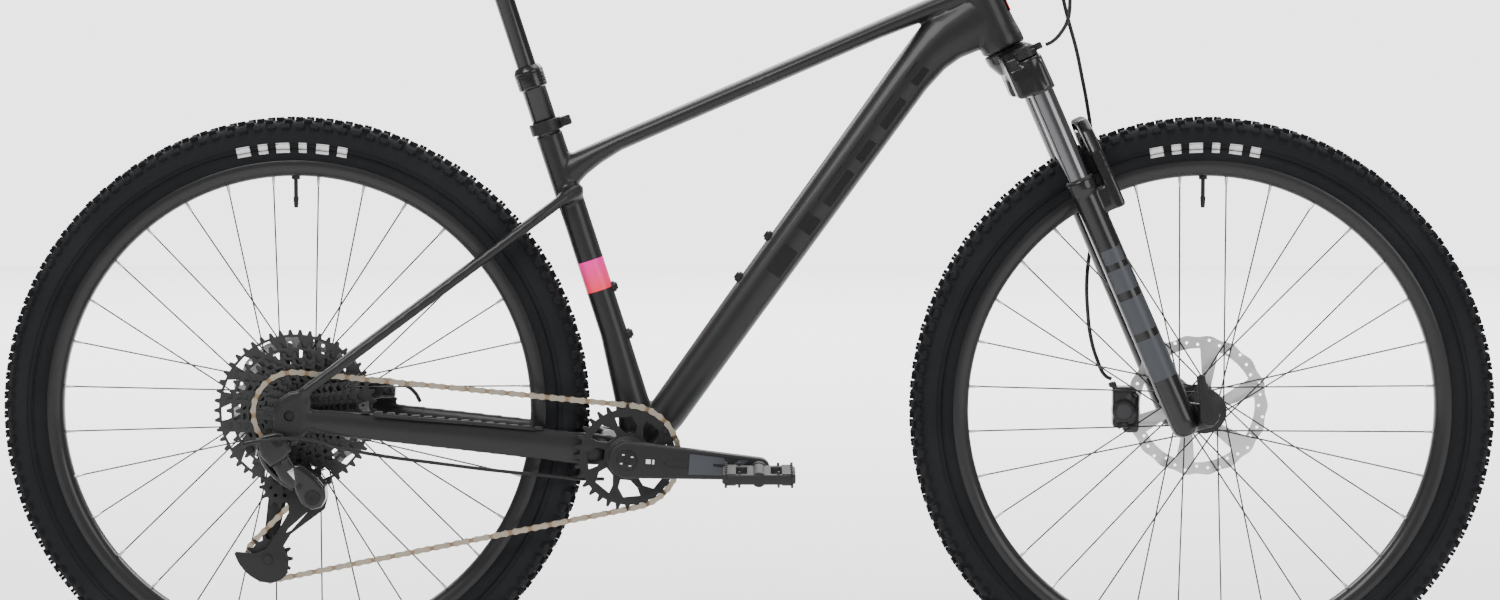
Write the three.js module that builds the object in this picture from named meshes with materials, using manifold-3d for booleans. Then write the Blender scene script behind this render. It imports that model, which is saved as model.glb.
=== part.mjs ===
// Hardtail mountain bike with a short-travel fork and a 1x12 drivetrain, in millimetres.
// +X forward, +Y to the rider's left, +Z up; the origin is on the ground midway between the axles.
import * as THREE from 'three';
import { mergeVertices } from 'three/addons/utils/BufferGeometryUtils.js';
import Module from 'manifold-3d';

const wasm = await Module();
wasm.setup();

// Driving dimensions.
const WHEELBASE = 1147.6;
const TYRE_R = 371;
const TYRE_HALF_W = 30.5;
const RIM_R = 315.5;
const RIM_INNER_R = 296;
const SPOKES = 32;
const SPOKE_LEAN = THREE.MathUtils.degToRad(40);
const WHEEL_SIDES = 40;
const GAP = 0.3;
const HEAD_TILT = THREE.MathUtils.degToRad(23.5);
const HEAD_BASE = [321.7, 0, 827.4];
const HEAD_LENGTH = 108;
const SEAT_TILT = THREE.MathUtils.degToRad(18);
const SEAT_TOP = [-258.6, 0, 735];
const BB = [-153, 0, 316];
const REAR = [-WHEELBASE / 2, 0, TYRE_R];
const FRONT = [WHEELBASE / 2, 0, TYRE_R];
const LEG_X = 17.5;
const LEG_Y = 62;
const AXLE_OFFSET = 49.2;
const AXLE_DROP = -519.1;
const CHAIN_PITCH = 12.7;
const COGS = [11, 13, 15, 17, 19, 22, 25, 28, 32, 36, 42, 50];
const COG_SPACING = 3.75;
const SMALL_COG_Y = -63;
const CHAIN_COG = 6;
const CHAINRING_TEETH = 32;
const CHAINRING_Y = -52;
const ROOT_DEPTH = 4.6;
const CRANK_LENGTH = 165;
const CRANK_DROP = THREE.MathUtils.degToRad(4);
const PULLEY_Y = -42;
const GUIDE = [-591.3, PULLEY_Y, 276.1];
const TENSION = [-606.2, PULLEY_Y, 186];
const CAGE_PIVOT = [-544.3, 0, 269.5];
const HANGER = [-586.5, 0, 341.5];
const BAR_HALF = 380;

const v = (p) => new THREE.Vector3(...p);
const pitchRadius = (teeth) => CHAIN_PITCH / (2 * Math.sin(Math.PI / teeth));

// Solids: manifold joins and cuts closed geometries.
function solid(geometry) {
  const plain = geometry.clone();
  plain.deleteAttribute('normal');
  plain.deleteAttribute('uv');
  const merged = mergeVertices(plain, 1e-4);
  const corners = merged.index.array;
  const triangles = [];
  for (let i = 0; i < corners.length; i += 3) {
    const [a, b, c] = corners.slice(i, i + 3);
    if (a !== b && b !== c && c !== a) triangles.push(a, b, c);
  }
  return new wasm.Manifold(new wasm.Mesh({
    numProp: 3,
    vertProperties: Float32Array.from(merged.attributes.position.array),
    triVerts: Uint32Array.from(triangles),
  }));
}

function toGeometry(manifold) {
  const mesh = manifold.getMesh();
  const geometry = new THREE.BufferGeometry();
  geometry.setAttribute('position', new THREE.BufferAttribute(mesh.vertProperties, 3));
  geometry.setIndex(new THREE.BufferAttribute(mesh.triVerts, 1));
  geometry.computeVertexNormals();
  return geometry;
}

function join(...pieces) {
  return toGeometry(pieces.map(solid).reduce((all, piece) => all.add(piece)));
}

function cut(piece, ...tools) {
  return toGeometry(tools.map(solid).reduce((left, tool) => left.subtract(tool), solid(piece)));
}

// A round bar from a to b, r0 thick at a and r1 at b.
function rod(a, b, r0, r1 = r0, sides = 12) {
  const span = v(b).sub(v(a));
  const geometry = new THREE.CylinderGeometry(r1, r0, span.length(), sides);
  geometry.applyQuaternion(new THREE.Quaternion().setFromUnitVectors(
    new THREE.Vector3(0, 1, 0), span.clone().normalize()));
  geometry.translate(...v(a).addScaledVector(span, 0.5).toArray());
  return geometry;
}

// A solid of revolution about the line through centre along Y. profile holds [radius, y] points.
function turned(profile, centre = [0, 0, 0], sides = 20) {
  const closed = profile[0][0] === 0 ? profile : [...profile, profile[0]];
  const geometry = new THREE.LatheGeometry(closed.map(([r, y]) => new THREE.Vector2(r, y)), sides);
  geometry.translate(...centre);
  return geometry;
}

// A flat plate: an outline in X and Z, from y0 to y1, with its edges chamfered by bevel.
function plate(outline, y0, y1, bevel = 0, holes = []) {
  const points = outline.map(([x, z]) => new THREE.Vector2(x, z));
  if (THREE.ShapeUtils.isClockWise(points)) points.reverse();
  const shape = new THREE.Shape(points);
  for (const hole of holes) {
    shape.holes.push(new THREE.Path(hole.map(([x, z]) => new THREE.Vector2(x, z))));
  }
  const geometry = new THREE.ExtrudeGeometry(shape, {
    depth: y1 - y0 - 2 * bevel,
    bevelEnabled: bevel > 0,
    bevelThickness: bevel,
    bevelSize: bevel,
    bevelOffset: -bevel,
    bevelSegments: 1,
    curveSegments: 4,
  });
  geometry.rotateX(Math.PI / 2);
  geometry.translate(0, y1 - bevel, 0);
  return geometry;
}

function circle(x, z, r, sides = 12) {
  return Array.from({ length: sides }, (_, i) => {
    const angle = (i / sides) * 2 * Math.PI;
    return [x + r * Math.cos(angle), z + r * Math.sin(angle)];
  });
}

// A stadium outline round two points, r0 about a and r1 about b.
function link(a, b, r0, r1, sides = 5) {
  const heading = Math.atan2(b[1] - a[1], b[0] - a[0]);
  const points = [];
  for (const [centre, r, start] of [[b, r1, heading - Math.PI / 2], [a, r0, heading + Math.PI / 2]]) {
    for (let i = 0; i <= sides; i += 1) {
      const angle = start + (i / sides) * Math.PI;
      points.push([centre[0] + r * Math.cos(angle), centre[1] + r * Math.sin(angle)]);
    }
  }
  return points;
}

// A cable or tube of one section along a smooth curve through points.
function cable(points, r, steps, sides = 6) {
  const section = new THREE.Shape(circle(0, 0, r, sides).map(([x, z]) => new THREE.Vector2(x, z)));
  return new THREE.ExtrudeGeometry(section, {
    steps,
    bevelEnabled: false,
    extrudePath: new THREE.CatmullRomCurve3(points.map(v), false, 'centripetal'),
  });
}

const bike = new THREE.Group();
const COLOURS = {
  frame: [0x1b1b1d, 0.45, 0.2],
  gloss: [0x0c0c0d, 0.2, 0.2],
  alloy: [0x1d1d1f, 0.4, 0.6],
  steel: [0x9b9a98, 0.3, 1],
  chain: [0x9c8b70, 0.35, 1],
  rubber: [0x26282b, 0.9, 0],
  plastic: [0x17181a, 0.55, 0],
  saddle: [0x141415, 0.6, 0],
};

function add(name, geometry, finish, group = bike) {
  const [color, roughness, metalness] = COLOURS[finish];
  const mesh = new THREE.Mesh(geometry, new THREE.MeshStandardMaterial({ color, roughness, metalness }));
  mesh.name = name;
  group.add(mesh);
  return mesh;
}

function place(position, tilt = 0) {
  const group = new THREE.Group();
  group.position.set(...position);
  group.rotation.y = tilt;
  bike.add(group);
  return group;
}

// Frame tubes, drawn in side view.
const SEAT_AXIS = [-Math.sin(SEAT_TILT), 0, Math.cos(SEAT_TILT)];
const HEAD_AXIS = [-Math.sin(HEAD_TILT), 0, Math.cos(HEAD_TILT)];
const alongSeat = (d) => SEAT_TOP.map((c, i) => c + SEAT_AXIS[i] * d);
const alongHead = (d) => HEAD_BASE.map((c, i) => c + HEAD_AXIS[i] * d);
const POST_R = 15.45;
const POST_SINK = 215;
const headVoid = rod(alongHead(-6), alongHead(HEAD_LENGTH + 8), 28.9, 26.4, 24);
const bracketVoid = turned([[0, -60], [24.8, -60], [24.8, 60], [0, 60]], BB);
const boss = (x, z, lean, y = 0) => {
  const angle = THREE.MathUtils.degToRad(lean);
  const out = [Math.cos(angle), 0, Math.sin(angle)];
  return rod([x - out[0] * 6, y, z - out[2] * 6], [x + out[0] * 3, y, z + out[2] * 3], 7, 7, 12);
};

const upright = (profile, sides = 18) => turned(profile, [0, 0, 0], sides).rotateX(Math.PI / 2);
const headGroup = place(HEAD_BASE, -HEAD_TILT);
add('head_tube', upright([[20, 0], [28, 0], [28, 12], [25, 60], [25, HEAD_LENGTH], [20, HEAD_LENGTH]]),
  'frame', headGroup);

add('top_tube', cut(plate([
  [-226, 696], [-213.5, 661], [-188.9, 681], [-138.3, 710.8], [165, 840.9], [215, 862.5],
  [275, 884.5], [275, 912.5], [190.3, 876.3], [-188.9, 712],
], -16, 16, 5), headVoid), 'frame');

add('down_tube', cut(join(plate([
  [-119, 386.5], [-127.4, 340], [-118, 305], [-62.5, 382.8], [38.6, 521.8], [139.7, 660.9],
  [240.8, 798.7], [266, 816.4], [300, 826], [275, 883.2], [214.5, 860], [165, 787], [13.3, 576],
], -23, 23, 8), boss(-13.2, 539, 144.5), boss(24.1, 591, 144.5)), headVoid, bracketVoid), 'frame');

const seatBore = rod(alongSeat(-POST_SINK), alongSeat(20), POST_R + 0.5, POST_R + 0.5, 24);
add('seat_tube', cut(join(plate([
  [-237.8, 727], [-270.2, 716.4], [-264.7, 699.2], [-235, 610.3], [-202.4, 509.2], [-183, 446],
  [-177.5, 408], [-175.5, 340], [-128.4, 340], [-128.4, 380], [-134.6, 408], [-167.4, 509.2], [-200.6, 610.3],
], -17, 17, 5), boss(-172.5, 526.8, 18), boss(-153.1, 467, 18)), seatBore, bracketVoid), 'frame');

add('bottom_bracket_shell', cut(join(
  turned([[0, -45], [21, -45], [21, -36.5], [24, -36.5], [24, 36.5], [21, 36.5], [21, 45], [0, 45]], BB),
  plate([[-192, 304], [-165, 298], [-165, 338], [-192, 340]], -33, 33, 3),
), turned([[0, -60], [12.4, -60], [12.4, 60], [0, 60]], BB)), 'frame');

// Each chainstay is a plate drawn in side view, then bowed outwards round the tyre to its dropout.
const STAY_BOW = [[-620, 78.2], [-556, 78.2], [-500, 69], [-400, 58], [-300, 46], [-240, 40], [-170, 40]];
function bowAt(x) {
  const i = STAY_BOW.findIndex(([bx]) => bx >= x);
  if (i <= 0) return STAY_BOW[0][1];
  const [[x0, y0], [x1, y1]] = [STAY_BOW[i - 1], STAY_BOW[i]];
  return y0 + ((x - x0) / (x1 - x0)) * (y1 - y0);
}

function bow(geometry, offset) {
  const position = geometry.attributes.position;
  for (let i = 0; i < position.count; i += 1) {
    position.setY(i, position.getY(i) + offset(position.getX(i)));
  }
  return geometry;
}

const CHAINSTAY = [
  [-176, 303], [-240, 308], [-300, 317], [-400, 328], [-500, 342], [-556, 346], [-572, 332], [-596, 332],
  [-598, 372], [-590, 392], [-574, 402], [-556, 394], [-542, 382], [-500, 377], [-400, 366], [-300, 356],
  [-240, 349], [-176, 341],
];
for (const [side, name] of [[-1, 'right'], [1, 'left']]) {
  const stay = bow(plate(CHAINSTAY, -5.5, 5.5, 2), (x) => side * bowAt(x));
  const axleBore = turned([[0, -90], [6.9, -90], [6.9, 90], [0, 90]], REAR, 12);
  add(`chainstay_${name}`, cut(stay, bracketVoid, axleBore), 'frame');
  add(`seatstay_${name}`, cable([
    [-226, side * 25, 645.5], [-255, side * 37, 624], [-285, side * 46, 601.6], [-400, side * 61, 516],
    [-520, side * 76, 427], [-549, side * 80, 405.5],
  ], 7, 12, 8), 'frame');
}

const seatGroup = place(SEAT_TOP, -SEAT_TILT);
const box = (x0, x1, y0, y1, z0, z1) => {
  const geometry = new THREE.BoxGeometry(x1 - x0, y1 - y0, z1 - z0);
  return geometry.translate((x0 + x1) / 2, (y0 + y1) / 2, (z0 + z1) / 2);
};
add('seat_clamp', cut(
  join(upright([[0, -13.6], [21, -13.6], [21, 1.5], [0, 1.5]]), box(17, 33, -8, 8, -13, 1)),
  upright([[0, -20], [16, -20], [16, 10], [0, 10]]), box(10, 40, -1, 1, -20, 10),
), 'alloy', seatGroup);
add('dropper_outer_tube', upright([
  [12.7, -150], [POST_R, -150], [POST_R, 44], [18.5, 46], [18.5, 70], [15, 74], [12.7, 74],
]), 'gloss', seatGroup);
add('dropper_inner_post', join(
  upright([[0, -70], [12.2, -70], [12.2, 208], [0, 208]], 20),
  box(-22, 22, -30, 30, 204, 214),
), 'gloss', seatGroup);
const rail = (side) => cable([
  [-440, side * 34, 981.4], [-420, side * 32, 975], [-388, side * 22, 962.5], [-300, side * 22, 962.5],
  [-262, side * 18, 970], [-228, side * 7, 981.4],
], 3.5, 14);
add('saddle_rails', join(rail(-1), rail(1), box(-237, -221, -13, 13, 978, 985.2),
  box(-446, -432, -40, 40, 979, 985.2)), 'steel');
const saddleShape = new THREE.Shape([
  [-470, 0], [-468, 48], [-452, 68], [-425, 70], [-390, 56], [-350, 34], [-300, 22], [-230, 19], [-206, 14],
  [-198, 0], [-206, -14], [-230, -19], [-300, -22], [-350, -34], [-390, -56], [-425, -70], [-452, -68],
  [-468, -48],
].map(([x, y]) => new THREE.Vector2(x, y)));
add('saddle', new THREE.ExtrudeGeometry(saddleShape, {
  depth: 11, bevelThickness: 8, bevelSize: 9, bevelOffset: -9, bevelSegments: 2,
}).translate(0, 0, 993.5), 'saddle');

// Wheels, each built round its own axle and placed there.
function wheel(name, centre, hubProfile, rotorY) {
  const group = place(centre);
  add(`${name}_tyre`, turned([
    [RIM_R + 0.5, -13], [325, -26], [338, -TYRE_HALF_W], [352, -TYRE_HALF_W], [364, -24], [TYRE_R, -10],
    [TYRE_R, 10], [364, 24], [352, TYRE_HALF_W], [338, TYRE_HALF_W], [325, 26], [RIM_R + 0.5, 13],
  ], [0, 0, 0], WHEEL_SIDES), 'rubber', group);
  add(`${name}_rim`, turned([
    [RIM_INNER_R, -5], [RIM_INNER_R + 9, -14], [RIM_R, -15], [RIM_R, 15], [RIM_INNER_R + 9, 14],
    [RIM_INNER_R, 5],
  ], [0, 0, 0], WHEEL_SIDES), 'alloy', group);
  const flanges = hubProfile.flanges;
  const spokes = Array.from({ length: SPOKES }, (_, i) => {
    const rimAngle = ((i + 0.5) / SPOKES) * 2 * Math.PI;
    const side = i % 2;
    const lean = (side ? 1 : -1) * SPOKE_LEAN;
    const hubAngle = rimAngle + lean;
    return rod(
      [27 * Math.sin(hubAngle), flanges[side], 27 * Math.cos(hubAngle)],
      [(RIM_INNER_R - 2) * Math.sin(rimAngle), (side ? 3 : -3), (RIM_INNER_R - 2) * Math.cos(rimAngle)],
      1.1, 1.1, 3,
    );
  });
  add(`${name}_hub_spokes`, join(turned(hubProfile.section, [0, 0, 0], 20), ...spokes), 'steel', group);
  const discR = 90;
  const arms = Array.from({ length: 6 }, (_, i) => {
    const angle = (i / 6) * 2 * Math.PI;
    const at = (r, turn) => [r * Math.cos(angle + turn), r * Math.sin(angle + turn)];
    return plate([at(18, -0.25), at(76, 0.22), at(76, 0.32), at(18, 0.25)], rotorY, rotorY + 1.8);
  });
  add(`${name}_rotor`, join(
    turned([[74, rotorY], [discR, rotorY], [discR, rotorY + 1.8], [74, rotorY + 1.8]], [0, 0, 0], 20),
    turned([[12.5, rotorY], [24, rotorY], [24, rotorY + 1.8], [12.5, rotorY + 1.8]], [0, 0, 0], 12),
    ...arms,
  ), 'steel', group);
}

const ROTOR_Y = 38.4;
wheel('rear', REAR, {
  flanges: [-17, 33],
  section: [
    [6.9, -19.5], [29, -19.5], [29, -15], [19, -11], [19, 29], [29, 30.5], [29, 35], [22, ROTOR_Y - GAP],
    [12, ROTOR_Y - GAP], [12, 68], [6.9, 68],
  ],
}, ROTOR_Y);
wheel('front', FRONT, {
  flanges: [-30, 30],
  section: [
    [8, -54.5], [13, -54.5], [13, -38], [29, -33], [29, -28], [16, -24], [16, 24], [29, 28], [29, 33],
    [22, ROTOR_Y - GAP], [12, ROTOR_Y - GAP], [12, 54.5], [8, 54.5],
  ],
}, ROTOR_Y);

// Drivetrain. Teeth are left off: each cog ends at its root, inside the chain.
const rootRadius = (teeth) => pitchRadius(teeth) - ROOT_DEPTH;
const cogSection = [[7, -69], [16, -69]];
COGS.forEach((teeth, i) => {
  const y = SMALL_COG_Y + i * COG_SPACING;
  cogSection.push([16, y - 0.9], [rootRadius(teeth), y - 0.9], [rootRadius(teeth), y + 0.9], [16, y + 0.9]);
});
cogSection.push([7, SMALL_COG_Y + 11 * COG_SPACING + 0.9]);
add('cassette', turned(cogSection, REAR, 16), 'steel');

const CHAINRING_R = rootRadius(CHAINRING_TEETH);
const ringArms = Array.from({ length: 4 }, (_, i) => {
  const angle = ((i + 0.5) / 4) * 2 * Math.PI;
  const at = (r, turn) => [BB[0] + r * Math.cos(angle + turn), BB[2] + r * Math.sin(angle + turn)];
  return plate([at(16, -0.5), at(50, -0.16), at(50, 0.16), at(16, 0.5)], CHAINRING_Y - 2, CHAINRING_Y + 2);
});
add('chainring', join(
  turned([[46, CHAINRING_Y - 2], [CHAINRING_R, CHAINRING_Y - 1.2], [CHAINRING_R, CHAINRING_Y + 1.2],
    [46, CHAINRING_Y + 2]], [BB[0], 0, BB[2]], 32),
  turned([[12.6, -67.6], [19, -67.6], [21, CHAINRING_Y + 3], [12.6, CHAINRING_Y + 3]], [BB[0], 0, BB[2]], 20),
  ...ringArms,
), 'alloy');

const crankEnd = (direction) => [
  BB[0] + direction * CRANK_LENGTH * Math.cos(CRANK_DROP),
  BB[2] - direction * CRANK_LENGTH * Math.sin(CRANK_DROP),
];
const SPINDLE_R = 11.9;
const centre2 = [BB[0], BB[2]];
const rightEnd = crankEnd(1);
const leftEnd = crankEnd(-1);
add('crank_arm_right', join(
  plate(link(centre2, rightEnd, 24, 14), -86, -68, 3),
  rod([BB[0], -70, BB[2]], [BB[0], 84, BB[2]], SPINDLE_R),
  rod([rightEnd[0], -80, rightEnd[1]], [rightEnd[0], -180, rightEnd[1]], 6, 6, 12),
), 'alloy');
add('crank_arm_left', cut(
  join(plate(link(centre2, leftEnd, 22, 14), 68, 86, 3),
    rod([leftEnd[0], 80, leftEnd[1]], [leftEnd[0], 180, leftEnd[1]], 6, 6, 12)),
  rod([BB[0], 60, BB[2]], [BB[0], 90, BB[2]], SPINDLE_R + 0.5),
), 'alloy');
for (const [side, name, end] of [[-1, 'right', rightEnd], [1, 'left', leftEnd]]) {
  const group = place([end[0], side * 142, end[1]]);
  add(`pedal_${name}`, cut(
    join(box(-46, 46, -50, 50, -7.5, 7.5), rod([0, -50, 0], [0, 50, 0], 10.5, 10.5, 12)),
    box(14, 37, -40, 40, -10, 10), box(-37, -14, -40, 40, -10, 10),
    rod([0, side * -60, 0], [0, side * 40, 0], 6.6, 6.6, 12),
  ), 'alloy', group);
}

// The chain is a band round the pitch line: each wheel has a centre, a radius and the side it lies on.
const CHAIN_WHEELS = [
  { at: centre2, r: pitchRadius(CHAINRING_TEETH), turn: 1 },
  { at: [TENSION[0], TENSION[2]], r: pitchRadius(14), turn: 1 },
  { at: [GUIDE[0], GUIDE[2]], r: pitchRadius(12), turn: -1 },
  { at: [REAR[0], REAR[2]], r: pitchRadius(COGS[CHAIN_COG]), turn: 1 },
];
function chainLine(offset) {
  const count = CHAIN_WHEELS.length;
  const headings = CHAIN_WHEELS.map((a, i) => {
    const b = CHAIN_WHEELS[(i + 1) % count];
    const dx = b.at[0] - a.at[0];
    const dz = b.at[1] - a.at[1];
    return Math.atan2(dz, dx) - Math.asin((a.turn * a.r - b.turn * b.r) / Math.hypot(dx, dz));
  });
  return CHAIN_WHEELS.flatMap((w, i) => {
    const from = headings[(i + count - 1) % count];
    let sweep = headings[i] - from;
    while (sweep * w.turn > 0) sweep -= w.turn * 2 * Math.PI;
    while (sweep * w.turn < -2 * Math.PI) sweep += w.turn * 2 * Math.PI;
    const steps = Math.ceil(Math.abs(sweep) / THREE.MathUtils.degToRad(13));
    return Array.from({ length: steps + 1 }, (_, k) => {
      const angle = from + (sweep * k) / steps + Math.PI / 2;
      const reach = w.turn * w.r + offset;
      return [w.at[0] + reach * Math.cos(angle), w.at[1] + reach * Math.sin(angle)];
    });
  });
}
const COG_Y = SMALL_COG_Y + CHAIN_COG * COG_SPACING;
add('chain', bow(plate(chainLine(4), -2.6, 2.6, 0, [chainLine(-4)]), (x) => {
  const t = THREE.MathUtils.clamp((x - BB[0]) / (REAR[0] - BB[0]), 0, 1);
  return CHAINRING_Y + t * (COG_Y - CHAINRING_Y);
}), 'chain');

// Rear derailleur: the body hangs on the dropout and the cage turns about the pivot.
const flat = (p) => [p[0], p[2]];
add('derailleur_body', join(
  plate(link(flat(HANGER), flat(CAGE_PIVOT), 11, 14), -94, -84.5, 2),
  rod([CAGE_PIVOT[0], -92, CAGE_PIVOT[2]], [CAGE_PIVOT[0], -52, CAGE_PIVOT[2]], 17, 17, 16),
), 'plastic');
const cageOutline = [
  [-530, 262], [-540, 250], [-583, 158], [-606, 148], [-630, 158], [-636, 186], [-622, 240], [-617, 280],
  [-604, 302], [-580, 304], [-556, 292], [-534, 284],
];
const cageWindow = [[-598, 250], [-590, 206], [-560, 250], [-578, 256]];
add('derailleur_cage', join(
  plate(cageOutline, -51.6, -49.4, 0, [cageWindow]),
  plate([[-575, 290], [-608, 290], [-626, 186], [-606, 164], [-586, 186]], -35.6, -33.6),
  rod([GUIDE[0], -50, GUIDE[2]], [GUIDE[0], -34, GUIDE[2]], 3, 3, 8),
  rod([TENSION[0], -50, TENSION[2]], [TENSION[0], -34, TENSION[2]], 3, 3, 8),
), 'alloy');
for (const [name, centre, teeth] of [['guide_pulley', GUIDE, 12], ['tension_pulley', TENSION, 14]]) {
  add(name, turned([[3.4, -2], [pitchRadius(teeth) - ROOT_DEPTH, -1.2],
    [pitchRadius(teeth) - ROOT_DEPTH, 1.2], [3.4, 2]], centre, 16), 'plastic');
}
add('rear_thru_axle', join(
  rod([REAR[0], -80, REAR[2]], [REAR[0], 84, REAR[2]], 6.4, 6.4, 12),
  rod([REAR[0], 84.2, REAR[2]], [REAR[0], 88, REAR[2]], 10.5, 9, 16),
  rod([REAR[0], 83.8, REAR[2]], [REAR[0], 84.6, REAR[2]], 10.5, 10.5, 16),
), 'alloy');

// Fork and cockpit. In this group +Z runs up the steering axis and +X points forward.
const steering = place(HEAD_BASE, -HEAD_TILT);
const crownArch = new THREE.Shape([
  [-80, -30], [-66, -14], [-30, -3], [30, -3], [66, -14], [80, -30], [80, -66], [44, -66], [38, -44],
  [22, -33], [-22, -33], [-38, -44], [-44, -66], [-80, -66],
].map(([y, z]) => new THREE.Vector2(y, z)));
// Extrudes a shape drawn in Y and Z along X, from x0 to x1.
function across(shape, x0, x1, bevel) {
  const geometry = new THREE.ExtrudeGeometry(shape, {
    depth: x1 - x0 - 2 * bevel, bevelThickness: bevel, bevelSize: bevel, bevelOffset: -bevel,
    bevelSegments: 1, bevelEnabled: bevel > 0,
  });
  geometry.rotateY(Math.PI / 2).rotateX(Math.PI / 2);
  return geometry.translate(x0 + bevel, 0, 0);
}
const STEERER_R = 14.3;
const dialPocket = rod([LEG_X, -LEG_Y, -19], [LEG_X, -LEG_Y, 5], 16.5, 16.5, 16);
add('fork_crown', cut(join(
  across(crownArch, -16, 34, 5),
  upright([[0, -20], [STEERER_R, -20], [STEERER_R, 168], [0, 168]], 20),
  upright([[0, -6], [26, -6], [26, -0.4], [0, -0.4]], 20),
  rod([LEG_X, -LEG_Y, -66.5], [LEG_X, -LEG_Y, -24], 19, 18),
  rod([LEG_X, LEG_Y, -66.5], [LEG_X, LEG_Y, -24], 19, 18),
), dialPocket), 'gloss', steering);

const SEAL_Z = -185;
const STANCHION_R = 15;
for (const [side, name] of [[-1, 'right'], [1, 'left']]) {
  add(`stanchion_${name}`, rod([LEG_X, side * LEG_Y, -330], [LEG_X, side * LEG_Y, -67],
    STANCHION_R, STANCHION_R, 14), 'steel', steering);
}
const lowersArch = new THREE.Shape([
  [-78, -236], [-66, -160], [-40, -116], [40, -116], [66, -160], [78, -236], [50, -236], [44, -172],
  [30, -136], [-30, -136], [-44, -172], [-50, -236],
].map(([y, z]) => new THREE.Vector2(y, z)));
const leg = (side) => join(
  rod([LEG_X, side * LEG_Y, SEAL_Z], [LEG_X, side * LEG_Y, SEAL_Z - 18], 19, 19, 14),
  rod([LEG_X, side * LEG_Y, SEAL_Z - 17], [LEG_X, side * LEG_Y, -532], 16.8, 17.8, 14),
  box(LEG_X, 58, side * LEG_Y - 12, side * LEG_Y + 12, -232, -200),
);
const dropout = (side) => plate([...link([LEG_X, -512], [AXLE_OFFSET, AXLE_DROP], 17, 15)],
  ...(side < 0 ? [-68, -55.5] : [55.5, 68]), 1);
const bores = [-1, 1].map((side) => rod([LEG_X, side * LEG_Y, -445], [LEG_X, side * LEG_Y, -150],
  STANCHION_R + GAP, STANCHION_R + GAP, 14));
add('fork_lowers', cut(
  join(leg(-1), leg(1), dropout(-1), dropout(1), across(lowersArch, 42, 60, 4)),
  ...bores, rod([AXLE_OFFSET, -90, AXLE_DROP], [AXLE_OFFSET, 90, AXLE_DROP], 7.9, 7.9, 12),
), 'gloss', steering);

add('lockout_dial', join(
  rod([LEG_X, -LEG_Y, -18.6], [LEG_X, -LEG_Y, -5], 15, 13.5, 16),
  box(LEG_X - 2, LEG_X + 24, -LEG_Y - 3, -LEG_Y + 3, -16, -6),
), 'alloy', steering);

const STEM_Z = 145;
const STEM_REACH = 60;
add('headset_cover', upright([
  [STEERER_R + GAP, HEAD_LENGTH + GAP], [27, HEAD_LENGTH + GAP], [24, HEAD_LENGTH + 8], [18, HEAD_LENGTH + 12],
  [18, 124.5], [STEERER_R + GAP, 124.5],
], 20), 'plastic', steering);
const BAR_R = 15.9;
add('stem', cut(
  join(upright([[0, 125], [19.5, 125], [19.5, 165], [0, 165]], 20),
    rod([8, 0, STEM_Z], [STEM_REACH - 8, 0, STEM_Z], 16, 16),
    rod([STEM_REACH, -25, STEM_Z], [STEM_REACH, 25, STEM_Z], 21, 21)),
  upright([[0, 100], [STEERER_R + GAP, 100], [STEERER_R + GAP, 200], [0, 200]], 20),
  rod([STEM_REACH, -60, STEM_Z], [STEM_REACH, 60, STEM_Z], BAR_R + GAP, BAR_R + GAP, 20),
), 'alloy', steering);

// The handlebar rises and sweeps back from its clamp; side is -1 for the right hand.
const BAR_CENTRE = [
  HEAD_BASE[0] + STEM_REACH * Math.cos(HEAD_TILT) - STEM_Z * Math.sin(HEAD_TILT), 0,
  HEAD_BASE[2] + STEM_REACH * Math.sin(HEAD_TILT) + STEM_Z * Math.cos(HEAD_TILT),
];
const BAR_BEND = 170;
const SWEEP = THREE.MathUtils.degToRad(8);
const RISE = 14;
const GRIP_R = 11.1;
// A point on the straight end of the bar, out from the centre, moved forward by dx and up by dz.
const onBar = (side, out, dx = 0, dz = 0) => [
  BAR_CENTRE[0] - (out - BAR_BEND) * Math.tan(SWEEP) + dx, side * out,
  BAR_CENTRE[2] + RISE + (out - BAR_BEND) * 0.05 + dz,
];
const barHalf = (side) => [
  rod([BAR_CENTRE[0], 0, BAR_CENTRE[2]], [BAR_CENTRE[0], side * 55, BAR_CENTRE[2]], BAR_R, BAR_R, 10),
  rod([BAR_CENTRE[0], side * 54, BAR_CENTRE[2]], [BAR_CENTRE[0], side * 100, BAR_CENTRE[2] + 3],
    BAR_R, GRIP_R, 10),
  rod([BAR_CENTRE[0], side * 98, BAR_CENTRE[2] + 2.5], onBar(side, BAR_BEND + 2), GRIP_R, GRIP_R, 10),
  rod(onBar(side, BAR_BEND - 2), onBar(side, BAR_HALF), GRIP_R, GRIP_R, 10),
];
add('handlebar', join(...barHalf(-1), ...barHalf(1)), 'alloy');

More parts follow.
